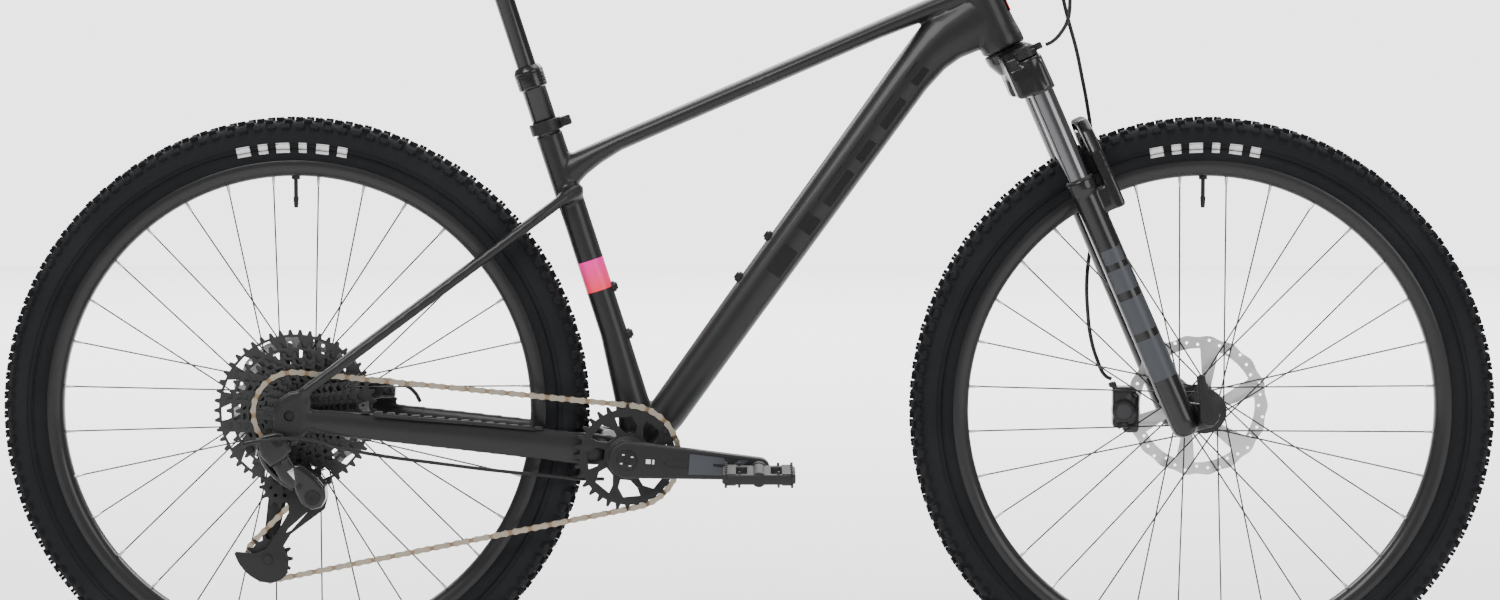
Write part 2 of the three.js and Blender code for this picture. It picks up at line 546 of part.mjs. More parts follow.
const LEVER_OUT = 222;
const LEVER_X = 34;
for (const [side, name] of [[-1, 'right'], [1, 'left']]) {
  const bore = rod(onBar(side, BAR_BEND), onBar(side, BAR_HALF + 10), GRIP_R + GAP, GRIP_R + GAP, 10);
  add(`grip_${name}`, cut(rod(onBar(side, 246), onBar(side, BAR_HALF - 1), 16, 16, 10), bore), 'rubber');
  add(`brake_master_${name}`, cut(join(
    rod(onBar(side, 190), onBar(side, 206), 16, 16, 10),
    rod(onBar(side, 200), onBar(side, 200, LEVER_X - 8, -2), 8, 8, 10),
    rod(onBar(side, 150, LEVER_X - 10, -2), onBar(side, LEVER_OUT, LEVER_X - 12, -4), 8.5, 10, 12),
    rod(onBar(side, 198, 0, -12), onBar(side, 198, 0, -26), 11, 11, 12),
    box(-20, 22, -16, 16, -24, -8).translate(BAR_CENTRE[0], side * 176, BAR_CENTRE[2]),
  ), bore), 'plastic');
  add(`brake_lever_${name}`, join(
    rod(onBar(side, LEVER_OUT + 4, LEVER_X + 2, -4), onBar(side, LEVER_OUT + 4, LEVER_X + 14, -4), 7, 6, 8),
    rod(onBar(side, LEVER_OUT + 2, LEVER_X + 11, -4), onBar(side, 262, LEVER_X + 18, -6), 6, 4.5, 8),
    rod(onBar(side, 261, LEVER_X + 18, -6), onBar(side, 300, LEVER_X + 24, -7), 4.5, 5.5, 8),
  ), 'alloy');
}
add('shift_lever', rod(onBar(-1, 190, -4, -52), onBar(-1, 232, -24, -56), 5, 7, 8), 'plastic');
add('lockout_lever', rod(onBar(1, 190, -4, -52), onBar(1, 232, -24, -56), 5, 7, 8), 'plastic');

add('front_thru_axle', join(
  rod([FRONT[0], -74, FRONT[2]], [FRONT[0], 71, FRONT[2]], 7.4, 7.4, 12),
  plate(link([FRONT[0], FRONT[2]], [FRONT[0] - 12, FRONT[2] + 46], 11, 6), -80, -72, 2),
), 'alloy');

const ROTOR_SLOT = [ROTOR_Y - 1.4, ROTOR_Y + 3.2];
const caliper = (x0, x1, z0, z1) => cut(
  plate([[x0, z0 + 6], [x0 + 8, z0], [x1, z0], [x1, z1 - 6], [x1 - 8, z1], [x0, z1]], 29.5, 53, 3),
  box(x0 + 14, x1 + 5, ...ROTOR_SLOT, z0 - 5, z1 + 5),
);
add('front_brake_caliper', caliper(462, 500, 334, 402), 'plastic');
add('rear_brake_caliper', cut(
  plate([[-500, 386], [-496, 379], [-452, 376], [-450, 400], [-460, 412], [-500, 412]], 29.5, 53, 3),
  box(-505, -462, ...ROTOR_SLOT, 370, 420),
), 'plastic');

// Hoses and housings, along their real routes.
add('shift_housing_rear', cable([
  [-628.8, -89, 336], [-606, -103, 342], [-580.7, -103, 345], [-555.5, -100, 344], [-530.2, -92, 338],
  [-511.2, -80, 331], [-467, -66, 320], [-391.1, -54, 308], [-321.6, -45, 298], [-239.5, -39, 289],
  [-215, -35, 286], [-185, -14, 283],
], 2.4, 24), 'plastic');
add('rear_brake_hose_rear', cable([
  [-449, 44, 398], [-440, 47, 395], [-430, 54, 386], [-424, 60, 374],
], 2.5, 8), 'plastic');
add('lockout_cable', cable([
  [369, -62, 833], [377, -61, 837], [388, -58, 848], [396.4, -54, 863], [400.1, -46, 888.4],
  [399, -28, 925], [385, 10, 955], [362, 80, 962], [345, 140, 966], [330, 157, 972],
], 2.4, 24), 'plastic');
add('front_brake_hose', cable([
  [347.5, 147, 995], [356, 128, 992], [378, 80, 965], [394, 50, 925], [400, 40, 888], [406.4, 42, 863],
  [417.8, 52, 825], [425.4, 62, 793], [433, 74, 760], [441, 86, 715], [447, 90, 660], [446, 90, 600],
  [439, 86, 562], [435, 77, 528], [435, 64, 492], [438, 52, 458], [445.6, 46, 430], [456, 44, 409], [464, 42, 404.5],
], 2.5, 34), 'plastic');
add('rear_brake_hose_front', cable([
  [347.5, -147, 995], [352, -125, 992], [358, -80, 975], [345, -40, 955], [325, -14, 941], [305, -8, 937],
], 2.5, 14), 'plastic');
add('shift_housing_front', cable([
  [338, -176, 980], [362, -150, 975], [378, -100, 960], [370, -40, 938], [335, 2, 928], [305, 6, 930],
], 2.4, 16), 'plastic');

export default bike;
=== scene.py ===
import math

import bpy
from mathutils import Matrix, Vector


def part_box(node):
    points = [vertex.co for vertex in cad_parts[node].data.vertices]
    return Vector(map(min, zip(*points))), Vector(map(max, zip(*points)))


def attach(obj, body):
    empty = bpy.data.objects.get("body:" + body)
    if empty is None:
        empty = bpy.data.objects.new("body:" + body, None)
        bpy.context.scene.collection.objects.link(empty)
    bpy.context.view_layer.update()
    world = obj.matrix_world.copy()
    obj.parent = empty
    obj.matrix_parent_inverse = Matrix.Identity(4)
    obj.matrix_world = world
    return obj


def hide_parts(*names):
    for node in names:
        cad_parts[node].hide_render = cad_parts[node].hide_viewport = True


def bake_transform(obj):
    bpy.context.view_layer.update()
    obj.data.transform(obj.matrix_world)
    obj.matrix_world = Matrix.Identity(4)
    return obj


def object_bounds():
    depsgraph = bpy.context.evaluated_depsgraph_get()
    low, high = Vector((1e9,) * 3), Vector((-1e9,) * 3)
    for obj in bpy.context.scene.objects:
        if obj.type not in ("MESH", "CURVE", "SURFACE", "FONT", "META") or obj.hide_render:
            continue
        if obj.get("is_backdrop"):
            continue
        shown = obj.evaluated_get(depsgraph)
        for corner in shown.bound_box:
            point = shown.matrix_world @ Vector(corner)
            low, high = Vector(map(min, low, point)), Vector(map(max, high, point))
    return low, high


bl_info = {
    "name": "Mountain bike",
    "version": (1, 0, 0),
    "blender": (4, 5, 0),
    "location": "3D View > Sidebar > Bike",
    "description": "Models the parts of a hardtail mountain bike round its frame of CAD parts",
    "category": "Object",
}

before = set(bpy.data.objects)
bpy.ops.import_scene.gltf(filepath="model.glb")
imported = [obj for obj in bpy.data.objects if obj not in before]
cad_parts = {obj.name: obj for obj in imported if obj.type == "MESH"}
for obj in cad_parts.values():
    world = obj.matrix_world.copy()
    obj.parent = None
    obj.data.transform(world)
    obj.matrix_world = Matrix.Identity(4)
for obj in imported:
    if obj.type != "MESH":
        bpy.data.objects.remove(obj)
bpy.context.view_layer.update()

# Lengths are in metres. Places that more than one piece needs come from the CAD nodes.
REAR_AXLE = Vector((-0.5738, 0, 0.371))
FRONT_AXLE = Vector((0.5738, 0, 0.371))
BRACKET = Vector((-0.153, 0, 0.316))
TYRE_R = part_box("front_tyre")[1][2] - FRONT_AXLE.z
HEAD_BASE = Vector((0.3217, 0, 0.8274))
HEAD_TILT = math.radians(23.5)
SEAT_TOP = Vector((-0.2586, 0, 0.735))
SEAT_TILT = math.radians(18)
LEG = (0.0175, 0.062)
FORK_MARKS = ((-0.455, -0.400), (-0.390, -0.345), (-0.335, -0.305), (-0.297, -0.278))
PITCH = 0.0127
COGS = (11, 13, 15, 17, 19, 22, 25, 28, 32, 36, 42, 50)
RING_TEETH = 32
TOOTH_ROOT = 0.0042
TOOTH_HEIGHT = 0.0072
COG_Y = [-0.063 + i * 0.00375 for i in range(12)]
RING_Y = -0.052
GUIDE = Vector((-0.5913, -0.042, 0.2761))
TENSION = Vector((-0.6062, -0.042, 0.186))
HANGER = Vector((-0.5865, -0.088, 0.3415))


def pitch_radius(teeth):
    return PITCH / (2 * math.sin(math.pi / teeth))


# ---------------------------------------------------------------- sizes and colours

class BikeFrameSizes(bpy.types.PropertyGroup):
    """Sizes and colours of the frame."""
    paint: bpy.props.FloatVectorProperty(
        name="Paint", description="Main colour of the frame", subtype="COLOR",
        default=(0.0075, 0.0075, 0.0082))
    accent: bpy.props.FloatVectorProperty(
        name="Accent", description="Colour of the band on the seat tube", subtype="COLOR",
        default=(0.85, 0.03, 0.05))
    weld: bpy.props.FloatProperty(
        name="Weld", description="Voxel size that blends the tubes into one skin",
        default=0.0024, unit="LENGTH")


class BikeWheelSizes(bpy.types.PropertyGroup):
    """Sizes and colours of the wheels."""
    knob_count: bpy.props.IntProperty(
        name="Knobs", description="Tread blocks round each tyre in one row", default=94)
    knob_height: bpy.props.FloatProperty(
        name="Knob height", description="How far a tread block stands out", default=0.0042, unit="LENGTH")
    spoke_count: bpy.props.IntProperty(name="Spokes", description="Spokes in each wheel", default=32)
    spoke_radius: bpy.props.FloatProperty(
        name="Spoke radius", description="Radius of a spoke", default=0.001, unit="LENGTH")
    rubber: bpy.props.FloatVectorProperty(
        name="Rubber", description="Colour of the tyres", subtype="COLOR", default=(0.0085, 0.0090, 0.0105))


class BikeStageSizes(bpy.types.PropertyGroup):
    """The floor and the light."""
    floor: bpy.props.FloatVectorProperty(
        name="Floor", description="Colour of the floor", subtype="COLOR", default=(0.88, 0.88, 0.875))
    light: bpy.props.FloatProperty(name="Light", description="Power of the main soft light", default=140)


# ---------------------------------------------------------------- materials

def group_socket(group, way, kind, name, value=None):
    socket = group.interface.new_socket(name=name, in_out=way, socket_type=kind)
    if value is not None:
        socket.default_value = value
    return socket


def noise_node(nodes, links, vector, scale, detail=3.0):
    noise = nodes.new("ShaderNodeTexNoise")
    noise.inputs["Detail"].default_value = detail
    if isinstance(scale, float):
        noise.inputs["Scale"].default_value = scale
    else:
        links.new(scale, noise.inputs["Scale"])
    links.new(vector, noise.inputs["Vector"])
    return noise.outputs["Fac"]


def surface_group():
    """Grain, dust and a cloudy spread of roughness that every finish on the bike shares."""
    if "surface_detail" in bpy.data.node_groups:
        return bpy.data.node_groups["surface_detail"]
    group = bpy.data.node_groups.new("surface_detail", "ShaderNodeTree")
    group_socket(group, "INPUT", "NodeSocketColor", "Colour")
    group_socket(group, "INPUT", "NodeSocketColor", "Dust colour")
    group_socket(group, "INPUT", "NodeSocketFloat", "Dust", 0.1)
    group_socket(group, "INPUT", "NodeSocketFloat", "Roughness", 0.4)
    group_socket(group, "INPUT", "NodeSocketFloat", "Roughness spread", 0.1)
    group_socket(group, "INPUT", "NodeSocketFloat", "Grain scale", 900.0)
    group_socket(group, "INPUT", "NodeSocketFloat", "Grain depth", 0.1)
    group_socket(group, "OUTPUT", "NodeSocketColor", "Colour")
    group_socket(group, "OUTPUT", "NodeSocketFloat", "Roughness")
    group_socket(group, "OUTPUT", "NodeSocketVector", "Normal")
    nodes, links = group.nodes, group.links
    source = nodes.new("NodeGroupInput")
    sink = nodes.new("NodeGroupOutput")
    place = nodes.new("ShaderNodeTexCoord").outputs["Object"]
    cloud = noise_node(nodes, links, place, 9.0, 5.0)
    fine = noise_node(nodes, links, place, source.outputs["Grain scale"], 2.0)
    ramp = nodes.new("ShaderNodeMapRange")
    ramp.inputs["From Min"].default_value = 0.45
    ramp.inputs["From Max"].default_value = 0.72
    links.new(cloud, ramp.inputs["Value"])
    amount = nodes.new("ShaderNodeMath")
    amount.operation = "MULTIPLY"
    links.new(ramp.outputs["Result"], amount.inputs[0])
    links.new(source.outputs["Dust"], amount.inputs[1])
    mix = nodes.new("ShaderNodeMix")
    mix.data_type = "RGBA"
    links.new(amount.outputs[0], mix.inputs["Factor"])
    links.new(source.outputs["Colour"], mix.inputs[6])
    links.new(source.outputs["Dust colour"], mix.inputs[7])
    links.new(mix.outputs[2], sink.inputs["Colour"])
    spread = nodes.new("ShaderNodeMath")
    spread.operation = "MULTIPLY_ADD"
    links.new(cloud, spread.inputs[0])
    links.new(source.outputs["Roughness spread"], spread.inputs[1])
    links.new(source.outputs["Roughness"], spread.inputs[2])
    links.new(spread.outputs[0], sink.inputs["Roughness"])
    bump = nodes.new("ShaderNodeBump")
    bump.inputs["Distance"].default_value = 0.0004
    links.new(source.outputs["Grain depth"], bump.inputs["Strength"])
    links.new(fine, bump.inputs["Height"])
    links.new(bump.outputs["Normal"], sink.inputs["Normal"])
    return group


def finish(name, colour, rough, metal=0.0, dust=0.08, spread=0.12, grain=900.0, depth=0.12,
           coat=0.0, dust_colour=(0.05, 0.048, 0.045), shine=0.28):
    """A material whose colour, roughness and normal come from the shared surface group."""
    made = bpy.data.materials.get(name)
    if made:
        groups = [node.node_tree.name for node in made.node_tree.nodes if node.type == "GROUP"]
        if "surface_detail" not in groups:
            raise ValueError(f"{name} is the name of a material that the frame already has")
        return made
    material = bpy.data.materials.new(name)
    material.use_nodes = True
    nodes, links = material.node_tree.nodes, material.node_tree.links
    shader = nodes["Principled BSDF"]
    shader.inputs["Metallic"].default_value = metal
    shader.inputs["Specular IOR Level"].default_value = shine
    shader.inputs["Coat Weight"].default_value = coat
    shader.inputs["Coat Roughness"].default_value = 0.08
    detail = nodes.new("ShaderNodeGroup")
    detail.node_tree = surface_group()
    detail.inputs["Colour"].default_value = (*colour, 1)
    detail.inputs["Dust colour"].default_value = (*dust_colour, 1)
    detail.inputs["Dust"].default_value = dust
    detail.inputs["Roughness"].default_value = rough
    detail.inputs["Roughness spread"].default_value = spread
    detail.inputs["Grain scale"].default_value = grain
    detail.inputs["Grain depth"].default_value = depth
    links.new(detail.outputs["Colour"], shader.inputs["Base Color"])
    links.new(detail.outputs["Roughness"], shader.inputs["Roughness"])
    links.new(detail.outputs["Normal"], shader.inputs["Normal"])
    return material


def band_between(material, colour_a, colour_b, low, high):
    """Adds a band of colour that runs from colour_a at height low to colour_b at height high."""
    nodes, links = material.node_tree.nodes, material.node_tree.links
    shader = nodes["Principled BSDF"]
    base = shader.inputs["Base Color"].links[0].from_socket
    split = nodes.new("ShaderNodeSeparateXYZ")
    links.new(nodes.new("ShaderNodeTexCoord").outputs["Object"], split.inputs["Vector"])
    along = nodes.new("ShaderNodeMath")
    along.operation = "MULTIPLY_ADD"
    along.inputs[1].default_value = -math.tan(SEAT_TILT)
    links.new(split.outputs["X"], along.inputs[0])
    links.new(split.outputs["Z"], along.inputs[2])
    ramp = nodes.new("ShaderNodeValToRGB")
    ramp.color_ramp.interpolation = "CONSTANT"
    reach = nodes.new("ShaderNodeMapRange")
    reach.inputs["From Min"].default_value = low
    reach.inputs["From Max"].default_value = high
    links.new(along.outputs[0], reach.inputs["Value"])
    links.new(reach.outputs["Result"], ramp.inputs["Fac"])
    ramp.color_ramp.elements[0].color = (0, 0, 0, 1)
    ramp.color_ramp.elements[0].position = 0.0
    ramp.color_ramp.elements[1].color = (1, 1, 1, 1)
    ramp.color_ramp.elements[1].position = 0.02
    ramp.color_ramp.elements.new(0.98).color = (0, 0, 0, 1)
    blend = nodes.new("ShaderNodeMix")
    blend.data_type = "RGBA"
    blend.inputs[6].default_value = (*colour_b, 1)
    blend.inputs[7].default_value = (*colour_a, 1)
    links.new(reach.outputs["Result"], blend.inputs["Factor"])
    behind = nodes.new("ShaderNodeMath")
    behind.operation = "COMPARE"
    behind.inputs[1].default_value = -0.205
    behind.inputs[2].default_value = 0.036
    links.new(split.outputs["X"], behind.inputs[0])
    mask = nodes.new("ShaderNodeMath")
    mask.operation = "MULTIPLY"
    links.new(ramp.outputs["Color"], mask.inputs[0])
    links.new(behind.outputs[0], mask.inputs[1])
    mix = nodes.new("ShaderNodeMix")
    mix.data_type = "RGBA"
    links.new(mask.outputs[0], mix.inputs["Factor"])
    links.new(base, mix.inputs[6])
    links.new(blend.outputs[2], mix.inputs[7])
    links.new(mix.outputs[2], shader.inputs["Base Color"])


# ---------------------------------------------------------------- modelling by hand

def clear_selection():
    if bpy.context.object and bpy.context.object.mode != "OBJECT":
        bpy.ops.object.mode_set(mode="OBJECT")
    bpy.ops.object.select_all(action="DESELECT")


def pick(*objects):
    clear_selection()
    for thing in objects:
        thing.select_set(True)
    bpy.context.view_layer.objects.active = objects[0]


def merge(name, objects):
    """Joins finished pieces into one object at the origin."""
    pick(*objects)
    if len(objects) > 1:
        bpy.ops.object.join()
    piece = bpy.context.object
    piece.name = name
    piece.data.name = name
    bpy.ops.object.transform_apply(location=True, rotation=True, scale=True)
    return piece


def outward(piece):
    pick(piece)
    bpy.ops.object.mode_set(mode="EDIT")
    bpy.ops.mesh.select_all(action="SELECT")
    bpy.ops.mesh.remove_doubles(threshold=0.00001)
    bpy.ops.mesh.normals_make_consistent(inside=False)
    bpy.ops.object.mode_set(mode="OBJECT")


def smooth(piece, angle=35):
    pick(piece)
    bpy.ops.object.shade_smooth_by_angle(angle=math.radians(angle))


def turned(profile, sides=48, closed=False, place=None):
    """Turns a profile of (radius, height) pairs about Z: a ring is pulled from step to step."""
    clear_selection()
    r0, z0 = profile[0]
    r0 = max(r0, 0.00002)
    bpy.ops.mesh.primitive_circle_add(vertices=sides, radius=r0, location=(0, 0, 0))
    piece = bpy.context.object
    bpy.ops.object.mode_set(mode="EDIT")
    bpy.ops.mesh.select_all(action="SELECT")
    bpy.ops.transform.translate(value=(0, 0, z0))
    if not closed:
        bpy.ops.mesh.edge_face_add()
    pull = bpy.ops.mesh.extrude_edges_move if closed else bpy.ops.mesh.extrude_region_move
    r, z = r0, z0
    steps = profile[1:] + ([profile[0]] if closed else [])
    for nr, nz in steps:
        nr = max(nr, 0.00002)
        pull()
        bpy.ops.transform.translate(value=(0, 0, nz - z))
        bpy.ops.transform.resize(value=(nr / r, nr / r, 1), center_override=(0, 0, nz))
        r, z = nr, nz
    bpy.ops.object.mode_set(mode="OBJECT")
    outward(piece)
    if place is not None:
        piece.matrix_world = place
        pick(piece)
        bpy.ops.object.transform_apply(location=True, rotation=True, scale=True)
    smooth(piece)
    return piece


def along_y(centre):
    """Lays a piece turned about Z on its side, so its axis runs towards the rider's left."""
    return Matrix.Translation(centre) @ Matrix.Rotation(-math.pi / 2, 4, "X")


def aimed(start, end):
    """Stands a piece turned about Z on start, with its axis towards end."""
    axis = Vector(end) - Vector(start)
    return Matrix.Translation(start) @ axis.to_track_quat("Z", "Y").to_matrix().to_4x4()


def rod(start, end, radius, end_radius=None, sides=24, edge=0.0):
    length = (Vector(end) - Vector(start)).length
    tip = radius if end_radius is None else end_radius
    if edge:
        profile = [(radius - edge, 0), (radius, edge), (tip, length - edge), (tip - edge, length)]
    else:
        profile = [(radius, 0), (tip, length)]
    return turned(profile, sides, place=aimed(start, end))


def block(low, high, edge=0.001, segments=2):
    """A box with rounded edges."""
    clear_selection()
    low, high = Vector(low), Vector(high)
    bpy.ops.mesh.primitive_cube_add(size=1, location=(low + high) / 2)
    piece = bpy.context.object
    piece.scale = high - low
    bpy.ops.object.transform_apply(location=True, rotation=True, scale=True)
    if edge:
        bpy.ops.object.mode_set(mode="EDIT")
        bpy.ops.mesh.select_all(action="SELECT")
        bpy.ops.mesh.bevel(offset=edge, segments=segments)
        bpy.ops.object.mode_set(mode="OBJECT")
    smooth(piece)
    return piece


def sheet_metal(outline, y0, y1, edge=0.0008, holes=(), segments=2):
    """A plate drawn in side view: an outline filled, pulled through its thickness and bevelled."""
    clear_selection()
    curve = bpy.data.curves.new("outline", "CURVE")
    curve.dimensions = "2D"
    curve.fill_mode = "BOTH"
    curve.extrude = (y1 - y0) / 2 - edge
    curve.bevel_depth = edge
    curve.bevel_resolution = segments - 1
    curve.offset = -edge
    for loop in (outline, *holes):
        spline = curve.splines.new("POLY")
        spline.points.add(len(loop) - 1)
        for point, (x, z) in zip(spline.points, loop):
            point.co = (x, z, 0, 1)
        spline.use_cyclic_u = True
    piece = bpy.data.objects.new("plate", curve)
    bpy.context.collection.objects.link(piece)
    pick(piece)
    bpy.ops.object.convert(target="MESH")
    piece = bpy.context.object
    piece.matrix_world = Matrix.Translation((0, (y0 + y1) / 2, 0)) @ Matrix.Rotation(math.pi / 2, 4, "X")
    bpy.ops.object.transform_apply(location=True, rotation=True, scale=True)
    outward(piece)
    smooth(piece, 40)
    return piece


def tube(points, radius, sides=10, steps=5, ends=True):
    """A cable or bent rod of one thickness along a smooth curve through points."""
    clear_selection()
    curve = bpy.data.curves.new("route", "CURVE")
    curve.dimensions = "3D"
    curve.bevel_depth = radius
    curve.bevel_resolution = max(0, sides // 4)
    curve.use_fill_caps = ends
    curve.resolution_u = steps
    spline = curve.splines.new("BEZIER")
    spline.bezier_points.add(len(points) - 1)
    for knot, point in zip(spline.bezier_points, points):
        knot.co = point
        knot.handle_left_type = knot.handle_right_type = "AUTO"
    piece = bpy.data.objects.new("route", curve)
    bpy.context.collection.objects.link(piece)
    pick(piece)
    bpy.ops.object.convert(target="MESH")
    piece = bpy.context.object
    outward(piece)
    bpy.ops.object.shade_smooth()
    return piece


def loft(sections, origin, tilt, sides=36):
    """A tube of changing oval section. Each section is (along, sideways, up, half width, half depth)."""
    clear_selection()
    x, y, z, width, depth = sections[0]
    bpy.ops.mesh.primitive_circle_add(vertices=sides, radius=1)
    piece = bpy.context.object
    piece.rotation_euler = (0, math.pi / 2, 0)
    bpy.ops.object.transform_apply(location=True, rotation=True, scale=True)
    bpy.ops.object.mode_set(mode="EDIT")
    bpy.ops.mesh.select_all(action="SELECT")
    bpy.ops.transform.resize(value=(1, width, depth))
    bpy.ops.transform.translate(value=(x, y, z))
    bpy.ops.mesh.edge_face_add()
    for nx, ny, nz, nwidth, ndepth in sections[1:]:
        bpy.ops.mesh.extrude_region_move()
        bpy.ops.transform.translate(value=(nx - x, ny - y, nz - z))
        bpy.ops.transform.resize(value=(1, nwidth / width, ndepth / depth), center_override=(nx, ny, nz))
        x, y, z, width, depth = nx, ny, nz, nwidth, ndepth
    bpy.ops.object.mode_set(mode="OBJECT")
    piece.matrix_world = Matrix.Translation(origin) @ Matrix.Rotation(-tilt, 4, "Y")
    pick(piece)
    bpy.ops.object.transform_apply(location=True, rotation=True, scale=True)
    outward(piece)
    smooth(piece, 50)
    return piece


def copies(piece, places):
    """One copy of a piece, with a mesh of its own, at each place; the first is the piece itself."""
    made = []
    for index, place in enumerate(places):
        twin = piece
        if index:
            twin = piece.copy()
            twin.data = piece.data.copy()
            bpy.context.collection.objects.link(twin)
        made.append((twin, place))
    for twin, place in made:
        twin.matrix_world = place
    return [twin for twin, _ in made]


def drill(piece, *cutters):
    for cutter in cutters:
        pick(piece)
        cut = piece.modifiers.new("cut", "BOOLEAN")
        cut.object = cutter
        cut.solver = "EXACT"
        bpy.ops.object.modifier_apply(modifier=cut.name)
        bpy.data.objects.remove(cutter)
    smooth(piece, 35)
    return piece


def done(piece, name, body, material, replaced=()):
    """Names a finished piece, gives it its finish and lets it ride on its body."""
    piece = merge(name, [piece] if not isinstance(piece, (list, tuple)) else list(piece))
    piece.data.materials.clear()
    piece.data.materials.append(material)
    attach(piece, body)
    if replaced:
        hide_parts(*replaced)
    return piece


def welded(pieces, voxel, rounds=5):
    """Grows overlapping pieces into one smooth skin, as welding and casting do."""
    piece = merge("welded", pieces)
    skin = piece.modifiers.new("skin", "REMESH")
    skin.mode = "VOXEL"
    skin.voxel_size = voxel
    bpy.ops.object.modifier_apply(modifier=skin.name)
    soften = piece.modifiers.new("soften", "SMOOTH")
    soften.factor = 0.5
    soften.iterations = rounds
    bpy.ops.object.modifier_apply(modifier=soften.name)
    bpy.ops.object.shade_smooth()
    return piece


def moved(piece, place):
    pick(piece)
    piece.matrix_world = place @ piece.matrix_world
    bpy.ops.object.transform_apply(location=True, rotation=True, scale=True)
    return piece


FORK = Matrix.Translation(HEAD_BASE) @ Matrix.Rotation(-HEAD_TILT, 4, "Y")
POST = Matrix.Translation(SEAT_TOP) @ Matrix.Rotation(-SEAT_TILT, 4, "Y")


def ring_of(radius, count, x=0.0, z=0.0, start=0.0, wave=0.0, waves=0):
    """Points round a circle, or round a wavy one."""
    points = []
    for i in range(count):
        angle = start + i * 2 * math.pi / count
        r = radius + wave * math.cos(waves * angle)
        points.append((x + r * math.cos(angle), z + r * math.sin(angle)))
    return points


# ---------------------------------------------------------------- finishes of the bike

def finishes():
    sizes = bpy.context.scene.bike_frame
    wheels = bpy.context.scene.bike_wheels
    paint = tuple(sizes.paint)
    made = {
        "paint": finish("satin_black_paint", paint, 0.36, 0.0, 0.04, 0.10, 2600.0, 0.05, coat=0.10),
        "gloss": finish("gloss_black_paint", (0.0060, 0.0060, 0.0065), 0.22, 0.0, 0.04, 0.08, 1500.0, 0.02,
                        coat=0.25),
        "alloy": finish("black_anodised", (0.012, 0.012, 0.013), 0.38, 0.3, 0.06, 0.10, 2400.0, 0.08),
        "forged": finish("forged_black", (0.012, 0.012, 0.013), 0.42, 0.2, 0.06, 0.12, 1800.0, 0.18),
        "steel": finish("bright_steel", (0.56, 0.55, 0.54), 0.26, 1.0, 0.05, 0.14, 1600.0, 0.08),
        "dark_steel": finish("dark_steel", (0.06, 0.06, 0.063), 0.30, 1.0, 0.08, 0.14, 1600.0, 0.08),
        "stanchion": finish("grey_stanchion", (0.12, 0.12, 0.125), 0.16, 0.95, 0.03, 0.06, 3000.0, 0.02),
        "rotor": finish("ground_rotor", (0.62, 0.62, 0.62), 0.24, 1.0, 0.05, 0.12, 2800.0, 0.15),
        "cog": finish("satin_cog", (0.045, 0.045, 0.046), 0.34, 0.8, 0.10, 0.14, 2000.0, 0.1),
        "outer_link": finish("tan_link", (0.36, 0.315, 0.25), 0.34, 1.0, 0.10, 0.14, 1800.0, 0.1),
        "inner_link": finish("brown_link", (0.27, 0.19, 0.12), 0.36, 1.0, 0.15, 0.14, 1800.0, 0.12),
        "rubber": finish("knobbly_rubber", tuple(wheels.rubber), 0.74, 0.0, 0.30, 0.10, 1400.0, 0.45,
                         shine=0.12, dust_colour=(0.022, 0.022, 0.023)),
        "rim": finish("satin_rim", (0.009, 0.009, 0.0095), 0.38, 0.1, 0.06, 0.08, 2200.0, 0.06, coat=0.2),
        "spoke": finish("black_spoke", (0.020, 0.020, 0.021), 0.32, 0.5, 0.02, 0.06, 2400.0, 0.03),
        "plastic": finish("grained_plastic", (0.012, 0.012, 0.013), 0.48, 0.0, 0.12, 0.12, 1500.0, 0.30),
        "hose": finish("hose_sheath", (0.008, 0.008, 0.0085), 0.40, 0.0, 0.06, 0.10, 1800.0, 0.12),
        "grip": finish("ribbed_rubber", (0.014, 0.014, 0.0145), 0.72, 0.0, 0.20, 0.10, 1300.0, 0.45),
        "cover": finish("grained_cover", (0.014, 0.014, 0.015), 0.58, 0.0, 0.12, 0.10, 900.0, 0.55),
        "red": finish("red_accent", (0.42, 0.012, 0.03), 0.28, 0.4, 0.03, 0.06, 2200.0, 0.04, coat=0.4),
        "white": finish("pale_mark", (0.62, 0.62, 0.62), 0.42, 0.0, 0.03, 0.06, 1800.0, 0.04),
        "grey": finish("grey_mark", (0.045, 0.048, 0.055), 0.36, 0.1, 0.03, 0.08, 2000.0, 0.05),
    }
    return made


# ---------------------------------------------------------------- wheels

def knob_row(radius, lateral, lean, size, count, shift):
    """One row of tread blocks, the first one modelled and spun round the tyre."""
    length, width, height = size
    knob = block((-height, -length / 2, -width / 2), (height, length / 2, width / 2), 0.0007, 1)
    turn = Matrix.Rotation(shift * 2 * math.pi / count, 4, "Z")
    moved(knob, turn @ Matrix.Translation((radius, 0, lateral)) @ Matrix.Rotation(-lean, 4, "Y"))
    bpy.ops.object.mode_set(mode="EDIT")
    bpy.ops.mesh.select_all(action="SELECT")
    bpy.ops.mesh.spin(steps=count - 1, dupli=True, angle=2 * math.pi * (count - 1) / count,
                      center=(0, 0, 0), axis=(0, 0, 1))
    bpy.ops.object.mode_set(mode="OBJECT")
    return knob


